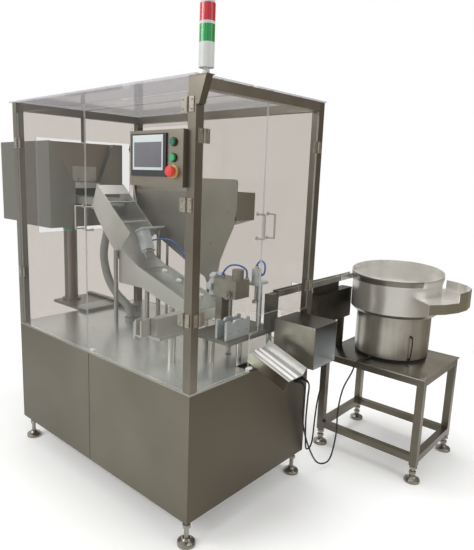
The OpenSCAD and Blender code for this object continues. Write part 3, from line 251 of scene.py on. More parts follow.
flare = [outer, (radius, "GREATER_THAN", FLARE_RADIUS), (height, "GREATER_THAN", FLARE_FOOT),
         (tailward.outputs["Value"], "LESS_THAN", TAIL_SPREAD)]
bevel = [(height, "LESS_THAN", BEVEL_TOP)]
paint = tone_where(tree, paint, colour("#b7b4ac"), [outer], share=0.6)
paint = tone_where(tree, paint, colour("#918d7a"), tail)
for tests in (flare, bevel):
    paint = tone_where(tree, paint, colour("#78736a"), tests)
tree.links.new(paint, shader.inputs["Base Color"])
print("bowl sheet ready")

# %% [markdown]
# The cabinet's sheets are satin, brushed along. Its faces that look right carry a painted shade, darker and browner.
# Light from the right falls off along the front, so a painted shade makes it darker at its left end.

# %% Cabinet sheet
paint, shader, tree, place = brushed("cabinet_sheet", "#747063", "#656155", "x", 0.40, cloud_mm=420.0,
                                     shade=(RIGHT, 0.6, 0.8, "#5a5346"))
split = add(tree, "ShaderNodeSeparateXYZ", {0: place})
painted_shade_leftward = add(tree, "ShaderNodeMapRange", {"Value": split.outputs["X"], "From Min": 0.1, "From Max": -0.6,
                                            "To Max": 0.75})
painted_light_grade = add(tree, "ShaderNodeMix", {0: painted_shade_leftward.outputs[0], 6: paint, 7: colour("#5c584d")}, data_type="RGBA")
tree.links.new(painted_light_grade.outputs[2], shader.inputs["Base Color"])
print("cabinet sheet ready")

# %% [markdown]
# The fittings of the doors are of two makes: hinges of plain satin sheet at the posts, and brighter handles where two
# doors meet. A point counts as a handle's when it lies near that seam.

# %% Door fittings
SEAMS = {"X": 0.056, "Y": -0.4}
HANDLE_REACH = 0.12
paint, shader, tree, place = brushed("pressed_fitting", "#a7a195", "#8d877b", "z", 0.32, cloud_mm=30.0, depth=0.0,
                                     wear=0.0)
split = add(tree, "ShaderNodeSeparateXYZ", {0: place})
for axis, seam in SEAMS.items():
    beside = [(split.outputs[axis], "GREATER_THAN", seam - HANDLE_REACH),
              (split.outputs[axis], "LESS_THAN", seam + HANDLE_REACH)]
    paint = tone_where(tree, paint, colour("#b9b6af"), beside)
tree.links.new(paint, shader.inputs["Base Color"])
print("door fittings ready")

# %% [markdown]
# The hopper is plain satin sheet. Its front carries a painted shade, a painted reflection of darker surroundings, and
# the back plate of the spout's V is set in and carries a warmer painted reflection than the wall round it.

# %% Hopper sheet
INSET_X = at(-1360, 0, 0).x
paint, shader, tree, place = brushed("hopper_sheet", "#b0b0a8", "#999990", "z", 0.36, cloud_mm=300.0, depth=0.05,
                                     shade=(FRONT, 0.6, 0.8, "#75756e"))
split = add(tree, "ShaderNodeSeparateXYZ", {0: place})
facing = add(tree, "ShaderNodeSeparateXYZ", {0: add(tree, "ShaderNodeTexCoord").outputs["Normal"]})
inset_painted_reflection = [(split.outputs["X"], "LESS_THAN", INSET_X), (facing.outputs["X"], "GREATER_THAN", 0.5)]
tree.links.new(tone_where(tree, paint, colour("#aea59b"), inset_painted_reflection), shader.inputs["Base Color"])
print("hopper sheet ready")

# %% [markdown]
# The outfeed chute is bright sheet, with a painted highlight on its two ribs. Its left skirt hangs in the shade and
# carries a painted reflection of the brown of the cabinet's end, more and more towards its foot.

# %% Chute sheet
RIB_Y, RIB_HALF_PITCH = at(0, 422, 0).y, 0.016
SKIRT_Y, RIBS_END_Y = at(0, 389.5, 0).y, at(0, 474, 0).y
paint, shader, tree, place = brushed("chute_sheet", "#cfcfcc", "#bfbfbb", "x", 0.27, cloud_mm=120.0, stroke_mm=3.0,
                                     depth=0.0, grain_share=0.05, wear=0.0, metal=0.6)
split = add(tree, "ShaderNodeSeparateXYZ", {0: place})
from_rib = add(tree, "ShaderNodeMath", {0: split.outputs["Y"], 1: RIB_Y}, operation="SUBTRACT")
across = add(tree, "ShaderNodeMath", {0: from_rib.outputs[0], 1: RIB_HALF_PITCH}, operation="PINGPONG")
rib_highlight = add(tree, "ShaderNodeMapRange", {"Value": across.outputs[0], "From Min": 0.010, "From Max": 0.006})
painted_reflection_footward = add(tree, "ShaderNodeMapRange", {"Value": split.outputs["X"], "From Min": at(-20, 0, 0).x,
                                            "From Max": at(110, 0, 0).x})
skirt = add(tree, "ShaderNodeMix", {0: painted_reflection_footward.outputs[0], 6: colour("#aaa897"), 7: colour("#5f574a")},
            data_type="RGBA")
paint = tone_where(tree, paint, colour("#ffffff"), [(split.outputs["Y"], "LESS_THAN", RIBS_END_Y)],
                   share=rib_highlight.outputs[0])
paint = tone_where(tree, paint, skirt.outputs[2], [(split.outputs["Y"], "LESS_THAN", SKIRT_Y)])
tree.links.new(paint, shader.inputs["Base Color"])
print("chute sheet ready")

# %% [markdown]
# The box chute beside it is painted pale inside, a painted reflection of light from below, with a painted shade under
# its roof and pale on its floor.

# %% Liner sheet, painted reflection
paint, shader, tree, place = brushed("liner_painted_reflection", "#dfe1e2", "#cdd0d1", "x", 0.35, cloud_mm=120.0, depth=0.0,
                                     grain_share=0.1, metal=0.25, wear=0.0)
split = add(tree, "ShaderNodeSeparateXYZ", {0: place})
painted_shade_roofward = add(tree, "ShaderNodeMapRange", {"Value": split.outputs["Z"], "From Min": at(0, 0, TABLE + 20).z,
                                            "From Max": at(0, 0, TABLE + 150).z})
painted_light_grade = add(tree, "ShaderNodeMix", {0: painted_shade_roofward.outputs[0], 6: paint, 7: colour("#5c5d59")}, data_type="RGBA")
tree.links.new(painted_light_grade.outputs[2], shader.inputs["Base Color"])
print("liner sheet ready")

# %% [markdown]
# Clear acrylic sheet. It is thin and flat, so it bends nothing: what is behind shows through, and the surface adds
# a mirror image that grows towards a glancing angle. Its sawn and polished edges catch light all along the sheet,
# so they look pale and milky. The faces that do not look along the sheet's own axis are those edges. The strip that
# hangs from the roof is part of the roof's solid, so for the roof only the faces over the posts count as edges.

# %% Clear acrylic sheet
SMEARS_PER_M = 2.2
MIRROR_STRAIGHT, MIRROR_GLANCE, GLANCE_POWER = 0.025, 0.6, 5.0
EDGE_SHARE = 0.4


def acrylic(name, dye, axis, edge="#dcdedc", edge_from=-1.0):
    material, tree = blank(name)
    coords = add(tree, "ShaderNodeTexCoord")
    smear = add(tree, "ShaderNodeTexNoise", {"Vector": coords.outputs["Object"], "Scale": SMEARS_PER_M,
                                             "Detail": 2.0})
    gloss_rough = add(tree, "ShaderNodeMapRange", {"Value": smear.outputs["Fac"], "To Min": 0.015, "To Max": 0.05})
    clear = add(tree, "ShaderNodeBsdfTransparent", {"Color": colour(dye)})
    mirror = add(tree, "ShaderNodeBsdfGlossy", {"Roughness": gloss_rough.outputs[0]})
    angle = add(tree, "ShaderNodeLayerWeight", {"Blend": 0.5})
    glance = add(tree, "ShaderNodeMath", {0: angle.outputs["Facing"], 1: GLANCE_POWER}, operation="POWER")
    share = add(tree, "ShaderNodeMath", {0: glance.outputs[0], 1: MIRROR_GLANCE, 2: MIRROR_STRAIGHT},
                operation="MULTIPLY_ADD")
    pane = add(tree, "ShaderNodeMixShader", {0: share.outputs[0], 1: clear.outputs[0], 2: mirror.outputs[0]})
    facing = add(tree, "ShaderNodeSeparateXYZ", {0: coords.outputs["Normal"]})
    size = add(tree, "ShaderNodeMath", {0: facing.outputs[axis]}, operation="ABSOLUTE")
    rim = add(tree, "ShaderNodeMath", {0: size.outputs[0], 1: 0.5}, operation="LESS_THAN")
    spot = add(tree, "ShaderNodeSeparateXYZ", {0: coords.outputs["Object"]})
    high = add(tree, "ShaderNodeMath", {0: spot.outputs["Z"], 1: edge_from}, operation="GREATER_THAN")
    edged = add(tree, "ShaderNodeMath", {0: rim.outputs[0], 1: high.outputs[0]}, operation="MULTIPLY")
    rim_share = add(tree, "ShaderNodeMath", {0: edged.outputs[0], 1: EDGE_SHARE}, operation="MULTIPLY")
    milky = add(tree, "ShaderNodeBsdfPrincipled", {"Base Color": colour(edge), "Roughness": 0.25})
    sheet = add(tree, "ShaderNodeMixShader", {0: rim_share.outputs[0], 1: pane.outputs[0], 2: milky.outputs[0]})
    add(tree, "ShaderNodeOutputMaterial", {"Surface": sheet.outputs[0]})
    finishes[name] = material


acrylic("front_acrylic", "#f3f3f2", "Y")
acrylic("end_acrylic", "#f6f6f5", "X")
acrylic("roof_acrylic", "#f0eff0", "Z", edge="#cbc8d6", edge_from=at(0, 0, GUARD_TOP).z)
acrylic("cover_acrylic", "#eef0f0", "Z")
acrylic("left_acrylic", "#f0ece9", "X")
acrylic("rear_acrylic", "#ebe7e4", "Y")
print("acrylic sheets ready")

# %% [markdown]
# Moulded plastics, rubber and enamel. A moulded part copies the grain of its steel mould, so it has a faint, even
# roughness and a small change of tone. Rubber is duller, and enamel is about as smooth as the plastics.

# %% Moulded plastics, rubber and enamel
CLOUD_MM = 40.0


def moulded(name, light, dark, rough, grain_mm=1.5, depth=0.15, coat=0.0):
    material, tree = blank(name)
    place = add(tree, "ShaderNodeTexCoord").outputs["Object"]
    grain = add(tree, "ShaderNodeTexNoise", {"Vector": place, "Scale": 1000.0 / grain_mm, "Detail": 2.0})
    cloud = add(tree, "ShaderNodeTexNoise", {"Vector": place, "Scale": 1000.0 / CLOUD_MM, "Detail": 2.0})
    paint = add(tree, "ShaderNodeMix", {0: cloud.outputs["Fac"], 6: colour(dark), 7: colour(light)},
                data_type="RGBA")
    dull = add(tree, "ShaderNodeMapRange", {"Value": grain.outputs["Fac"], "To Min": rough - 0.05,
                                            "To Max": rough + 0.07})
    bump = add(tree, "ShaderNodeBump", {"Height": grain.outputs["Fac"], "Strength": depth, "Distance": 0.0002})
    shader = add(tree, "ShaderNodeBsdfPrincipled", {"Base Color": paint.outputs[2], "Roughness": dull.outputs[0],
                                                    "Coat Weight": coat, "Normal": bump.outputs[0]})
    add(tree, "ShaderNodeOutputMaterial", {"Surface": shader.outputs[0]})
    finishes[name] = material


moulded("black_abs", "#26282b", "#1b1d1f", 0.42)
moulded("green_abs", "#35b872", "#1f9a58", 0.30, coat=0.3)
moulded("dark_green_abs", "#14735a", "#0b5b46", 0.34, coat=0.3)
moulded("red_abs", "#e23b3b", "#cf2c2e", 0.36, coat=0.2)
moulded("yellow_abs", "#dcc278", "#c9ab55", 0.45)
moulded("white_nylon", "#f4f4f2", "#e4e4e2", 0.45)
moulded("tower_abs", "#d3d5d2", "#c2c5c2", 0.38)
moulded("grey_duct", "#a3a29d", "#8a8984", 0.50)
moulded("cable_rubber", "#1f1f20", "#151516", 0.55)
moulded("hose_blue", "#2f6fc4", "#2258a8", 0.28, coat=0.4)
moulded("motor_enamel", "#5d646b", "#4d545a", 0.40)
moulded("anodised_plate", "#ccd1d3", "#bac0c3", 0.40, depth=0.1)
print("finishes:", len(finishes))

# %% [markdown]
# The station is one solid on the drawing. Its ground plate is dark satin steel, and the cradles that stand on it are
# pale anodised aluminium. The cradles' points lie high over the table and near the front.

# %% Station plate
STATION_CLOUDS_PER_M = 18.0
CRADLE_FOOT, CRADLE_BACK = at(0, 0, TABLE + 116.0).z, at(0, 480, 0).y
material, tree = blank("station_metal")
place = add(tree, "ShaderNodeTexCoord").outputs["Object"]
split = add(tree, "ShaderNodeSeparateXYZ", {0: place})
cloud = add(tree, "ShaderNodeTexNoise", {"Vector": place, "Scale": STATION_CLOUDS_PER_M,
                                         "Detail": 3.0}).outputs["Fac"]
ground = add(tree, "ShaderNodeMix", {0: cloud, 6: colour("#6a6962"), 7: colour("#85847d")}, data_type="RGBA")
pale = add(tree, "ShaderNodeMix", {0: cloud, 6: colour("#b9bfc3"), 7: colour("#d0d5d8")}, data_type="RGBA")
cradle = [(split.outputs["Z"], "GREATER_THAN", CRADLE_FOOT), (split.outputs["Y"], "LESS_THAN", CRADLE_BACK)]
paint = tone_where(tree, ground.outputs[2], pale.outputs[2], cradle)
shader = add(tree, "ShaderNodeBsdfPrincipled", {"Base Color": paint, "Roughness": 0.38, "Metallic": 0.45})
add(tree, "ShaderNodeOutputMaterial", {"Surface": shader.outputs[0]})
finishes["station_metal"] = material
print("station finish ready")

# %% [markdown]
# The lenses of the signal tower are clear plastic dyed through, with fine upright ribs inside that scatter the lamp's
# light. The ribs are drawn as bands of tone and bump across the lens, about six millimetres apart.

# %% Dyed lens plastic
LENS_BANDS = 52.0


def dyed_lens(name, light, dark):
    material, tree = blank(name)
    place = add(tree, "ShaderNodeTexCoord").outputs["Object"]
    ribs = add(tree, "ShaderNodeTexWave", {"Vector": place, "Scale": LENS_BANDS, "Distortion": 0.0},
               wave_type="BANDS", bands_direction="X")
    paint = add(tree, "ShaderNodeMix", {0: ribs.outputs["Fac"], 6: colour(dark), 7: colour(light)},
                data_type="RGBA")
    bump = add(tree, "ShaderNodeBump", {"Height": ribs.outputs["Fac"], "Strength": 0.3, "Distance": 0.0006})
    shader = add(tree, "ShaderNodeBsdfPrincipled", {"Base Color": paint.outputs[2], "Roughness": 0.22,
                                                    "Coat Weight": 0.5, "Normal": bump.outputs[0]})
    add(tree, "ShaderNodeOutputMaterial", {"Surface": shader.outputs[0]})
    finishes[name] = material


dyed_lens("green_lens_plastic", "#19a04e", "#0b7d39")
dyed_lens("red_lens_plastic", "#d02238", "#ab1227")
print("lens plastics ready")

# %% [markdown]
# Every solid of the drawing now gets the finish of the real piece.

# %% Finishes of the solids
DRESS = {
    "cabinet_sheet": ["cover_panels"],
    "tube_steel": ["base_frame", "guard_posts", "tower_bracket"],
    "rail_steel": ["guard_rails"],
    "stand_steel": ["feeder_stand"],
    "drive_casting": ["track_drive"],
    "table_sheet": ["table_top"],
    "hopper_sheet": ["hopper_shell", "hopper_column"],
    "trough_sheet": ["trough_body", "feed_tray", "stop_gate", "pusher_bracket", "hopper_gate"],
    "housing_sheet": ["index_housing"],
    "panel_sheet": ["panel_box"],
    "bin_sheet": ["tube_bin"],
    "box_sheet": ["box_chute"],
    "bowl_sheet": ["bowl"],
    "drum_sheet": ["bowl_drum"],
    "chute_sheet": ["outfeed_chute"],
    "track_sheet": ["cap_track"],
    "foot_steel": ["levelling_feet"],
    "turned_bar": ["table_posts", "drive_shaft", "cap_ram", "pusher_rod"],
    "pressed_fitting": ["front_left_fittings", "front_right_fittings", "end_near_fittings", "end_far_fittings"],
    "hinge_sheet": ["hinge_leaves"],
    "front_acrylic": ["front_left_door", "front_right_door"],
    "end_acrylic": ["end_near_door", "end_far_door"],
    "roof_acrylic": ["roof_sheet"],
    "cover_acrylic": ["trough_cover"],
    "left_acrylic": ["left_guard_sheet"],
    "rear_acrylic": ["rear_guard_sheet"],
    "black_abs": ["touch_screen", "cable_glands"],
    "green_abs": ["start_button"],
    "dark_green_abs": ["reset_button"],
    "red_abs": ["estop_button"],
    "yellow_abs": ["button_collars"],
    "tower_abs": ["tower_base"],
    "green_lens_plastic": ["green_lens"],
    "red_lens_plastic": ["red_lens"],
    "grey_duct": ["flex_duct"],
    "cable_rubber": ["bowl_cable", "track_cable"],
    "hose_blue": ["air_hoses"],
    "motor_enamel": ["gear_motor", "tray_drive"],
    "anodised_plate": ["stop_cylinder", "cap_cylinder", "tube_wheel"],
    "station_metal": ["station_plate"],
}
for finish, names in DRESS.items():
    for name in names:
        nodes[name].data.materials.clear()
        nodes[name].data.materials.append(finishes[finish])
print("dressed:", sum(len(names) for names in DRESS.values()), "of", len(nodes))

# %% [markdown]
# The two feeder cables and the air hoses are soft tubes held at both ends. Each follows a smooth line through a few
# given points, and gets its round section from the curve's own bevel.


# %% Helpers for soft tubes
def smooth_line(points, steps=6):
    line = []
    last = len(points) - 1
    for i in range(last):
        a, b = points[max(i - 1, 0)], points[i]
        c, d = points[i + 1], points[min(i + 2, last)]
        for k in range(steps):
            s = k / steps
            line.append(0.5 * (2 * b + (c - a) * s + (2 * a - 5 * b + 4 * c - d) * s ** 2
                               + (3 * b - a - 3 * c + d) * s ** 3))
    return line + [points[last]]


def soft_tube(name, places, diameter_mm, finish):
    line = smooth_line([at(*p) for p in places])
    data = bpy.data.curves.new(name, "CURVE")
    data.dimensions = "3D"
    data.bevel_depth = diameter_mm / 2000.0
    data.bevel_resolution = 3
    data.use_fill_caps = True
    spline = data.splines.new("POLY")
    spline.points.add(len(line) - 1)
    for point, place in zip(spline.points, line):
        point.co = (*place, 1.0)
    data.materials.append(finishes[finish])
    tube = bpy.data.objects.new(name, data)
    bpy.context.scene.collection.objects.link(tube)
    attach(tube, "machine")
    return tube


print("tube helpers ready")

# %% [markdown]
# The points are those of the drawing. The feeder's cables leave the cabinet's end, sag and climb to the stand, and the
# hoses loop from fitting to fitting. The bowl's cable stands for the drawing's
# solid of itself and the drum's lead, and one hose stands for the solid of all three.

# %% Cables and hoses
CABLE_D = 8.0
LEAD_D = 6.0
HOSE_D = 8.0
bowl_route = [(14.3, 719, 398), (37, 721, 389), (46, 725, 366), (42, 735, 310), (32, 750, 200), (31, 795, 75),
              (44, 866, -56), (59, 926, -98), (72, 978, -78), (79, 1006, 45), (78, 1008, 173), (84, 1032, 285),
              (97, 1084, 360), (105, 1108, 409), (114, 1134, 428), (123, 1180, 424), (129, 1219, 424)]
track_route = [(14.3, 760, 398), (37, 762, 389), (46, 765, 366), (40, 770, 310), (28, 785, 180), (18, 812, 50),
               (15, 827, 9), (14, 850, -2), (14, 873, 9), (15, 884, 50), (15, 892, 150), (16, 907, 250),
               (12, 948, 335), (-10, 1005, 420), (-55, 1080, 510), (-84, 1121, 548), (-95, 1135, 576.3),
               (-95, 1135, 592.0)]
lead_route = [(305, 1289.4, 560), (314, 1282.4, 558), (318, 1280, 520), (312, 1283.4, 452), (300.9, 1292.2, 436)]
hose_gate = [(-786, 481.4, 1000), (-784, 505, 1002), (-768, 530, 1006), (-735, 552, 1006), (-690, 566, 990),
             (-640, 582, 930), (-606, 594, 830), (-590, 600, 700), (-590, 600, 620), (-590, 600, 540.3)]
hose_arc = [(-238, 440, 896), (-236, 440, 920), (-205, 444, 952), (-162, 456, 958), (-136, 476, 938),
            (-134.5, 482, 896)]
hose_ram = [(-130, 545, 941), (-129, 546, 958), (-112, 549, 976), (-90, 546, 966), (-82, 541, 940), (-88, 539, 918),
            (-106.5, 540.5, 915)]
bowl_cable = soft_tube("feeder_bowl_cable", bowl_route, CABLE_D, "cable_rubber")
drum_lead = soft_tube("drum_lead", lead_route, LEAD_D, "cable_rubber")
track_cable = soft_tube("feeder_track_cable", track_route, CABLE_D, "cable_rubber")
gate_hose = soft_tube("stop_air_hose", hose_gate, HOSE_D, "hose_blue")
housing_hose = soft_tube("housing_air_hose", hose_arc, HOSE_D, "hose_blue")
ram_hose = soft_tube("ram_air_hose", hose_ram, HOSE_D, "hose_blue")
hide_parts("bowl_cable")
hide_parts("track_cable")
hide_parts("air_hoses")

# %% [markdown]
# A bmesh becomes a finished piece by one helper: it merges doubles, points the faces outwards, takes a finish and
# rides on the body that carries it. A second helper turns a piece as a lathe would.


# %% Helpers for new pieces
def piece(name, mesh_work, finish, body, smooth=True):
    bmesh.ops.remove_doubles(mesh_work, verts=mesh_work.verts, dist=1e-6)
    bmesh.ops.recalc_face_normals(mesh_work, faces=mesh_work.faces)
    data = bpy.data.meshes.new(name)
    mesh_work.to_mesh(data)
    mesh_work.free()
    data.materials.append(finishes[finish])
    made = bpy.data.objects.new(name, data)
    bpy.context.scene.collection.objects.link(made)
    if smooth:
        data.polygons.foreach_set("use_smooth", [True] * len(data.polygons))
        data.set_sharp_from_angle(angle=math.radians(35))
    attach(made, body)
    print(name, len(data.polygons), "faces")


AXIS_TURN = {
    "-y": Matrix.Rotation(math.radians(90), 4, "X"),
    "+x": Matrix.Rotation(math.radians(90), 4, "Y"),
    "+z": Matrix.Identity(4),
    "+y": Matrix.Rotation(math.radians(-90), 4, "X"),
}


def turned(work, place, facing, rings, sides=24):
    """Adds a lathe-turned piece: rings are (radius, height) in mm, from the seat outwards along facing."""
    move = Matrix.Translation(place) @ AXIS_TURN[facing]
    start = bmesh.ops.create_circle(work, cap_ends=True, cap_tris=False, segments=sides, radius=rings[0][0] / 1000.0,
                                    matrix=move @ Matrix.Translation((0, 0, rings[0][1] / 1000.0)))
    face = next(f for f in work.faces if start["verts"][0] in f.verts and len(f.verts) == sides)
    centre = face.calc_center_median()
    radius, height = rings[0]
    for next_radius, next_height in rings[1:]:
        grown = bmesh.ops.extrude_discrete_faces(work, faces=[face])
        face = grown["faces"][0]
        out = (move.to_3x3() @ Vector((0, 0, 1))) * ((next_height - height) / 1000.0)
        for vert in face.verts:
            vert.co = centre + (vert.co - centre) * (next_radius / radius) + out
        centre = centre + out
        radius, height = next_radius, next_height


print("piece helpers ready")

# %% [markdown]
# Socket-head screws hold the hinges. Each is a small turned head with a sunk socket. The screws of one carrier are one
# piece. Each hinge has two screws in the post and two in the door, on either side of the hinge's line.

# %% Hinge screws
SCREW = [(4.2, 0.0), (4.2, 2.6), (3.7, 3.2), (2.3, 3.2), (2.1, 1.4)]
LEAF = 3.0
HOLE_ROWS = (-16.0, 16.0)
HOLE_REACH = 20.0
POST_SIDE, DOOR_SIDE = -1, 1
HINGE_LINES = {
    "front_left": ("-y", -1255.5, HOLE_REACH, (282.0, 940.0)),
    "front_right": ("-y", -39.5, -HOLE_REACH, (282.0, 702.0, 1043.0)),
    "end_near": ("+x", 39.5, HOLE_REACH, (282.0, 940.0)),
    "end_far": ("+x", 775.5, -HOLE_REACH, (312.0, 940.0)),
}


def screws(name, places, facing, body):
    work = bmesh.new()
    for place in places:
        turned(work, at(*place), facing, SCREW, sides=12)
    piece(name, work, "turned_bar", body)


def hole_places(door, side):
    facing, line, reach, heights = HINGE_LINES[door]
    along = line + reach * side
    rows = [TABLE + height + row for height in heights for row in HOLE_ROWS]
    return [(along, -LEAF, z) if facing == "-y" else (LEAF, along, z) for z in rows]


front_places = hole_places("front_left", POST_SIDE) + hole_places("front_right", POST_SIDE)
end_places = hole_places("end_near", POST_SIDE) + hole_places("end_far", POST_SIDE)
screws("front_post_screws", front_places, "-y", "machine")
screws("end_post_screws", end_places, "+x", "machine")
for door, (facing, *_) in HINGE_LINES.items():
    screws(door + "_screws", hole_places(door, DOOR_SIDE), facing, door + "_leaf")

# %% [markdown]
# The same screws hold the roof down along its rear and side rails. Two sit on the spout's gate and three on the bin.

# %% Other screws
ROOF_Z = GUARD_TOP + 6.0
BIN_PLACES = [(-440.0, 600.0, TABLE + 560.0), (-470.0, 600.0, TABLE + 470.0), (-360.0, 600.0, TABLE + 640.0)]
GATE_PLACES = [(-1385.7, 435.0, 1303.0), (-1385.7, 521.0, 1303.0)]
roof_places = [(x, 796.0, ROOF_Z) for x in range(-1240, 0, 290)]
roof_places += [(x, y, ROOF_Z) for x in (-1276.0, -19.0) for y in (150.0, 400.0, 450.0, 650.0)]
screws("roof_screws", roof_places, "+z", "machine")
screws("gate_screws", GATE_PLACES, "+x", "spout_gate")
screws("bin_screws", BIN_PLACES, "-y", "machine")

# %% [markdown]
# The pull handles stand on the acrylic with a small round foot at each end.

# %% Handle feet
HANDLE_LOW, HANDLE_HIGH = TABLE + 562.0, TABLE + 659.0
FOOT_RINGS = [(7.5, 0.0), (7.5, 2.0), (6.6, 3.0), (4.2, 3.4)]
HANDLES = (("front_left", -681.5, "-y"), ("front_right", -608.5, "-y"), ("end_near", 361.5, "+x"),
           ("end_far", 428.5, "+x"))
for door, along, facing in HANDLES:
    work = bmesh.new()
    for height in (HANDLE_LOW, HANDLE_HIGH):
        place = at(along, 0, height) if facing == "-y" else at(0, along, height)
        turned(work, place, facing, FOOT_RINGS)
    piece(door + "_handle_feet", work, "pressed_fitting", door + "_leaf")

# %% [markdown]
# The touch screen's face: a pale frame inside the black bezel, and the grey display inside that. Nothing is
# written on it. Each is a thin plate with softened edges. The margins are at the left, right, bottom and top.


# %% Touch screen face
def plate(work, low, high, soften_mm=0.6):
    made = bmesh.ops.create_cube(work, size=1.0)
    middle, size = (low + high) / 2, high - low
    bmesh.ops.scale(work, vec=size, verts=made["verts"])
    bmesh.ops.translate(work, vec=middle, verts=made["verts"])
    edges = list(dict.fromkeys(e for v in made["verts"] for e in v.link_edges))
    bmesh.ops.bevel(work, geom=edges, offset=soften_mm / 1000.0, segments=2, profile=0.5, affect="EDGES", material=-1)


screen_low, screen_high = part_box("touch_screen")
moulded("screen_frame", "#ccd3d4", "#c1c8ca", 0.55)
moulded("screen_display", "#6d6b70", "#636268", 0.60)
SCREEN = (("screen_frame", (0.010, 0.016, 0.022, 0.005), 0.0008, 0.0005),
          ("screen_display", (0.019, 0.023, 0.032, 0.030), 0.0014, 0.0))
for name, (left, right, bottom, top), proud, sunk in SCREEN:
    work = bmesh.new()
    plate(work, Vector((screen_low.x + left, screen_low.y - proud, screen_low.z + bottom)),
          Vector((screen_high.x - right, screen_low.y + sunk, screen_high.z - top)))
    piece(name, work, name, "machine")

# %% [markdown]
# The two green push buttons sit in plain black rings, which cover their moulded collars. Under the drum of the bowl
# lies a black rubber ring, which keeps the shaking off the stand. Each ring is a circle pulled up and scaled in steps:
# its radius, its sides, and for every step the lift and the growth.


# %% Button rings and rubber ring
def open_ring(work, radius, sides, steps):
    ring = bmesh.ops.create_circle(work, segments=sides, radius=radius)
    edges = list(dict.fromkeys(e for v in ring["verts"] for e in v.link_edges))
    for lift, growth in steps:
        grown = bmesh.ops.extrude_edge_only(work, edges=edges)
        verts = [g for g in grown["geom"] if isinstance(g, bmesh.types.BMVert)]
        bmesh.ops.translate(work, vec=(0, 0, lift), verts=verts)
        bmesh.ops.scale(work, vec=(growth, growth, 1.0), verts=verts)
        edges = [e for e in work.edges if all(v in verts for v in e.verts)]


PANEL_FACE = at(0, -20, 0).y
BUTTON_RING = (0.0158, 40, ((0.0052, 1.0), (0.0, 0.79)))
DRUM_RING = (0.1854, 96, ((0.004, 1.006), (0.007, 1.0), (0.004, 1.006)))
for name in ("start_button", "reset_button"):
    low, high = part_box(name)
    centre = (low + high) / 2
    work = bmesh.new()
    open_ring(work, *BUTTON_RING)
    bmesh.ops.transform(work, matrix=Matrix.Translation((centre.x, PANEL_FACE, centre.z)) @ AXIS_TURN["-y"],
                        verts=work.verts)
    piece(name + "_ring", work, "black_abs", "machine")
drum_low, drum_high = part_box("bowl_drum")
work = bmesh.new()
open_ring(work, *DRUM_RING)
bmesh.ops.translate(work, vec=((drum_low.x + drum_high.x) / 2, (drum_low.y + drum_high.y) / 2, drum_low.z),
                    verts=work.verts)
piece("drum_rubber_ring", work, "cable_rubber", "machine")

# %% [markdown]
# The knobs on the trough's cover are white nylon. The drawing has them in the cover's own solid, so a cap of
# white nylon goes over each, square to the slope of the cover.

# %% White knobs
KNOB = [(7.4, 5.0), (7.4, 8.8), (14.4, 8.8), (14.5, 15.5), (12.5, 17.6)]
KNOB_SHARES = (0.14, 0.40, 0.77)
TROUGH_MIDDLE = 459.0
COVER_BEND, COVER_START, COVER_END = -752.0, -712.0, -303.0
BEND_HEIGHT, END_HEIGHT = 342.0, 198.0
slope = (BEND_HEIGHT - END_HEIGHT) / (COVER_END - COVER_BEND)
tilt = Matrix.Rotation(math.atan(slope), 4, "Y")
for number, share in enumerate(KNOB_SHARES):
    x = COVER_START + share * (COVER_END - COVER_START)
    z = TABLE + BEND_HEIGHT - slope * (x - COVER_BEND)
    work = bmesh.new()
    turned(work, Vector((0, 0, 0)), "+z", KNOB)
    bmesh.ops.transform(work, matrix=Matrix.Translation(at(x, TROUGH_MIDDLE, z)) @ tilt, verts=work.verts)
    piece(f"trough_knob_{number + 1}", work, "white_nylon", "machine")

# %% [markdown]
# The stand's top is smoother than its tubes, so a thin sheet lies on it and carries its painted reflection. Its front
# edge carries a painted highlight, a thin strip of bright bar steel.

# %% Stand top
STAND_INSET = 0.001
work = bmesh.new()
plate(work, Vector((stand_low.x + STAND_INSET, stand_low.y + STAND_INSET, stand_high.z - 0.0002)),
      Vector((stand_high.x - STAND_INSET, stand_high.y - STAND_INSET, stand_high.z + 0.0001)), soften_mm=0.1)
piece("stand_top_skin", work, "stand_top_sheet", "machine")
work = bmesh.new()
plate(work, Vector((stand_low.x + STAND_INSET, stand_low.y - 0.0006, stand_high.z - 0.005)),
      Vector((stand_high.x - STAND_INSET, stand_low.y + 0.003, stand_high.z + 0.0006)), soften_mm=0.5)
piece("stand_top_edge_highlight", work, "turned_bar", "machine")

# %% [markdown]
# A second nut locks each foot's stem, a little under the one at the frame. Where two doors meet, a small white catch
# on the table holds their lower corners.

# %% Lock nuts and door catches
NUT = [(15.5, 0.0), (17.5, 1.2), (17.5, 14.8), (15.5, 16.0)]
CATCHES = {"front_door_catch": ((-661, 8.5), (-631, 22.5)), "end_door_catch": ((-20, 352), (-6, 382))}
CATCH_HEIGHT = 10.0
FEET = [(x, y, -46.0) for x in (-1259.0, -36.0) for y in (36.0, 779.0)]
FEET += [(x, y, -81.0) for x in (-88.5, 432.5) for y in (1145.5, 1576.5)]
work = bmesh.new()
for place in FEET:
    turned(work, at(*place), "+z", NUT, sides=6)
piece("foot_lock_nuts", work, "foot_steel", "machine", smooth=False)
for name, (low, high) in CATCHES.items():
    work = bmesh.new()
    plate(work, at(*low, TABLE), at(*high, TABLE + CATCH_HEIGHT), soften_mm=1.5)
    piece(name, work, "white_nylon", "machine")

# %% [markdown]
# Where a cable leaves a housing, a rubber sleeve keeps it from kinking. It is thick at the housing and thins out along
# the cable, so it is drawn as rings on the cable's own line, bridged one to the next. Each ring is given as how far
# along it stands and its radius.

# %% Cable sleeves
SLEEVE = [(0.0, 8.2), (5.0, 8.2), (7.0, 7.0), (14.0, 6.2), (22.0, 5.4), (30.0, 4.6)]


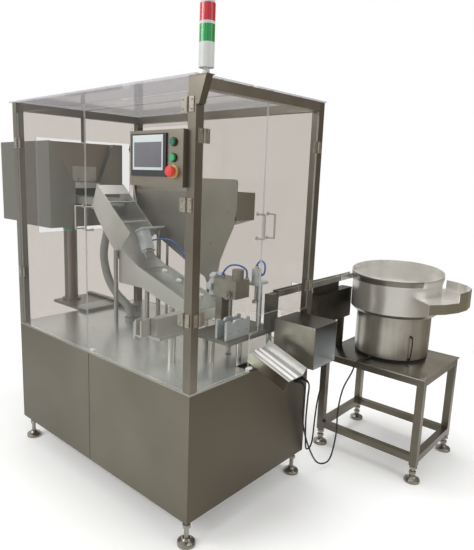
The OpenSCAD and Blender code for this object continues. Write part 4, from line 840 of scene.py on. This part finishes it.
def sleeve(work, places, scale=1.0):
    line = smooth_line([at(*p) for p in places], steps=24)
    gone, rings = 0.0, []
    wanted = list(SLEEVE)
    for here, there in zip(line, line[1:]):
        while wanted and gone >= wanted[0][0] * scale / 1000.0 - 1e-9:
            aim = (there - here).to_track_quat("Z", "Y").to_matrix().to_4x4()
            made = bmesh.ops.create_circle(work, segments=20, radius=wanted[0][1] * scale / 1000.0,
                                           matrix=Matrix.Translation(here) @ aim)
            rings.append(list(dict.fromkeys(e for v in made["verts"] for e in v.link_edges)))
            wanted.pop(0)
        gone += (there - here).length
    for first, second in zip(rings, rings[1:]):
        bmesh.ops.bridge_loops(work, edges=first + second)


work = bmesh.new()
for route, scale in ((bowl_route, 1.0), (track_route, 1.0), (bowl_route[::-1], 1.0), (track_route[::-1], 0.95),
                     (lead_route, 0.7), (lead_route[::-1], 0.7)):
    sleeve(work, route, scale)
piece("cable_sleeves", work, "cable_rubber", "machine")

# %% [markdown]
# Each air hose ends in a push-in fitting: a nickel-plated hexagon screwed into the metal, with a blue release ring
# that the hose goes through.

# %% Hose fittings
HEXAGON = [(8.0, 0.0), (8.0, 6.0), (6.6, 7.0), (6.6, 10.0)]
RELEASE = [(5.8, 10.0), (6.2, 11.0), (6.2, 13.0), (5.0, 14.0)]
FITTINGS = [((-238, 440, 895), "+z"), ((-134.5, 482, 895), "+z"), ((-130, 545, 940), "+z"),
            ((-108, 540.5, 915), "+x"), ((-786, 481, 1000), "+y"), ((-590, 600, 540), "+z")]
work = bmesh.new()
for place, facing in FITTINGS:
    turned(work, at(*place), facing, HEXAGON, sides=6)
piece("hose_fittings", work, "turned_bar", "machine")
work = bmesh.new()
for place, facing in FITTINGS:
    turned(work, at(*place), facing, RELEASE, sides=16)
piece("hose_release_rings", work, "hose_blue", "machine")

# %% [markdown]
# The inside of the box chute is painted paler than its outside, which is a darker satin: a painted reflection of
# light.
# A thin open sleeve of pale sheet lines it and carries that painted reflection.

# %% Box chute's painted reflection sleeve
LINER_GAP = Vector((0.0012, 0.005, 0.005))
box_low, box_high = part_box("box_chute")
work = bmesh.new()
bmesh.ops.create_cube(work, size=1.0)
bmesh.ops.scale(work, vec=(box_high - box_low) - LINER_GAP, verts=work.verts)
bmesh.ops.translate(work, vec=(box_low + box_high) / 2, verts=work.verts)
ends = [f for f in work.faces if abs(f.normal.x) > 0.9]
bmesh.ops.delete(work, geom=ends, context="FACES_ONLY")
bmesh.ops.solidify(work, geom=work.faces[:], thickness=0.0004)
piece("box_chute_reflection_sleeve", work, "liner_painted_reflection", "machine", smooth=False)

# %% [markdown]
# Between the hopper's column and the plate it carries lies a green rubber ring. A small black lock sits on the right
# front door, beside the operator panel, and two spare cable holes in the end sheet are plugged.

# %% Column ring, hole plugs and door lock
COLUMN_RING = [(41.0, 0.0), (42.4, 1.5), (42.4, 32.0), (41.0, 34.5)]
PLUG = [(6.5, 0.0), (6.5, 1.0), (5.5, 1.8)]
LOCK_BARREL = [(3.2, 0.0), (3.2, 3.0), (2.4, 4.0)]
COLUMN_TOP = (-1513, 454, 993)
PLUGS = [(0, 579, 428), (0, 611, 422)]
moulded("green_rubber", "#6fae8e", "#579a78", 0.55)
work = bmesh.new()
turned(work, at(*COLUMN_TOP), "+z", COLUMN_RING, sides=48)
piece("column_ring", work, "green_rubber", "machine")
work = bmesh.new()
for place in PLUGS:
    turned(work, at(*place), "+x", PLUG, sides=20)
piece("hole_plugs", work, "black_abs", "machine")
work = bmesh.new()
plate(work, at(-352, -6, 1424), at(-343, 0, 1449), soften_mm=1.5)
turned(work, at(-347.5, -6, 1436), "-y", LOCK_BARREL, sides=16)
piece("door_lock", work, "black_abs", "front_right_leaf")

# %% [markdown]
# The stage starts with a pale floor that keeps the machine's shadow and fades out towards its edge.

# %% Floor
FLOOR_RADIUS, FADE_START, FADE_END = 3.4, 1.6, 3.2
material, tree = blank("studio_floor")
place = add(tree, "ShaderNodeTexCoord").outputs["Object"]
distance = add(tree, "ShaderNodeVectorMath", {0: place}, operation="LENGTH")
fade = add(tree, "ShaderNodeMapRange", {"Value": distance.outputs["Value"], "From Min": FADE_START,
                                        "From Max": FADE_END}, interpolation_type="SMOOTHSTEP")
matt = add(tree, "ShaderNodeBsdfPrincipled", {"Base Color": colour("#fbfbfa"), "Roughness": 0.85,
                                              "Emission Color": colour("#ffffff"), "Emission Strength": 0.12})
gone = add(tree, "ShaderNodeBsdfTransparent")
mixed = add(tree, "ShaderNodeMixShader", {0: fade.outputs[0], 1: matt.outputs[0], 2: gone.outputs[0]})
add(tree, "ShaderNodeOutputMaterial", {"Surface": mixed.outputs[0]})
work = bmesh.new()
bmesh.ops.create_circle(work, cap_ends=True, segments=64, radius=FLOOR_RADIUS)
data = bpy.data.meshes.new("studio_floor")
work.to_mesh(data)
work.free()
data.materials.append(material)
floor = bpy.data.objects.new("studio_floor", data)
bpy.context.scene.collection.objects.link(floor)
print("floor ready")

# %% [markdown]
# The surround is white to the camera and through the acrylic, and lights the machine at a lower level. Mirrors see a
# pale wall instead, which turns darker and warmer to the right.

# %% Surround
WALL_RIGHT = (0.72, 0.69, 0.0)
world = bpy.data.worlds.new("studio")
bpy.context.scene.world = world
world.use_nodes = True
tree = world.node_tree
tree.nodes.clear()
path = add(tree, "ShaderNodeLightPath")
seen = add(tree, "ShaderNodeMath", {0: path.outputs["Is Camera Ray"], 1: path.outputs["Is Transmission Ray"]},
           operation="MAXIMUM")
heading = add(tree, "ShaderNodeTexCoord").outputs["Generated"]
rightward = add(tree, "ShaderNodeVectorMath", {0: heading, 1: WALL_RIGHT}, operation="DOT_PRODUCT")
turned_right = add(tree, "ShaderNodeMapRange", {"Value": rightward.outputs["Value"], "From Min": -0.3,
                                                "From Max": 0.9}, interpolation_type="SMOOTHSTEP")
wall = add(tree, "ShaderNodeMix", {0: turned_right.outputs[0], 6: colour("#f1f0ed"), 7: colour("#8d8171")},
           data_type="RGBA")
mirrored = add(tree, "ShaderNodeBackground", {"Color": wall.outputs[2], "Strength": 1.0})
lit = add(tree, "ShaderNodeBackground", {"Color": colour("#fbfbfa"), "Strength": 0.7})
shown = add(tree, "ShaderNodeBackground", {"Color": (1, 1, 1, 1), "Strength": 1.0})
around = add(tree, "ShaderNodeMixShader", {0: path.outputs["Is Glossy Ray"], 1: lit.outputs[0],
                                           2: mirrored.outputs[0]})
both = add(tree, "ShaderNodeMixShader", {0: seen.outputs[0], 1: around.outputs[0], 2: shown.outputs[0]})
add(tree, "ShaderNodeOutputWorld", {"Surface": both.outputs[0]})
print("surround ready")

# %% [markdown]
# Three soft boxes light the machine: a strong one from the front left, a weak one from the right and one from above.


# %% Lamps
def soft_lamp(name, place, aim, size, watts):
    data = bpy.data.lights.new(name, "AREA")
    data.shape = "RECTANGLE"
    data.size, data.size_y = size
    data.energy = watts
    lamp = bpy.data.objects.new(name, data)
    lamp.location = place
    lamp.rotation_euler = (Vector(aim) - Vector(place)).to_track_quat("-Z", "Y").to_euler()
    bpy.context.scene.collection.objects.link(lamp)


LAMP_AIM = (0.0, 0.0, 1.0)
soft_lamp("key_softbox", (-1.6, -4.6, 3.6), LAMP_AIM, (2.6, 2.0), 120.0)
soft_lamp("fill_softbox", (4.4, 0.6, 2.6), LAMP_AIM, (2.0, 2.4), 26.0)
soft_lamp("top_softbox", (0.0, 0.3, 4.6), LAMP_AIM, (3.0, 2.4), 90.0)
print("lamps:", len(bpy.data.lights))
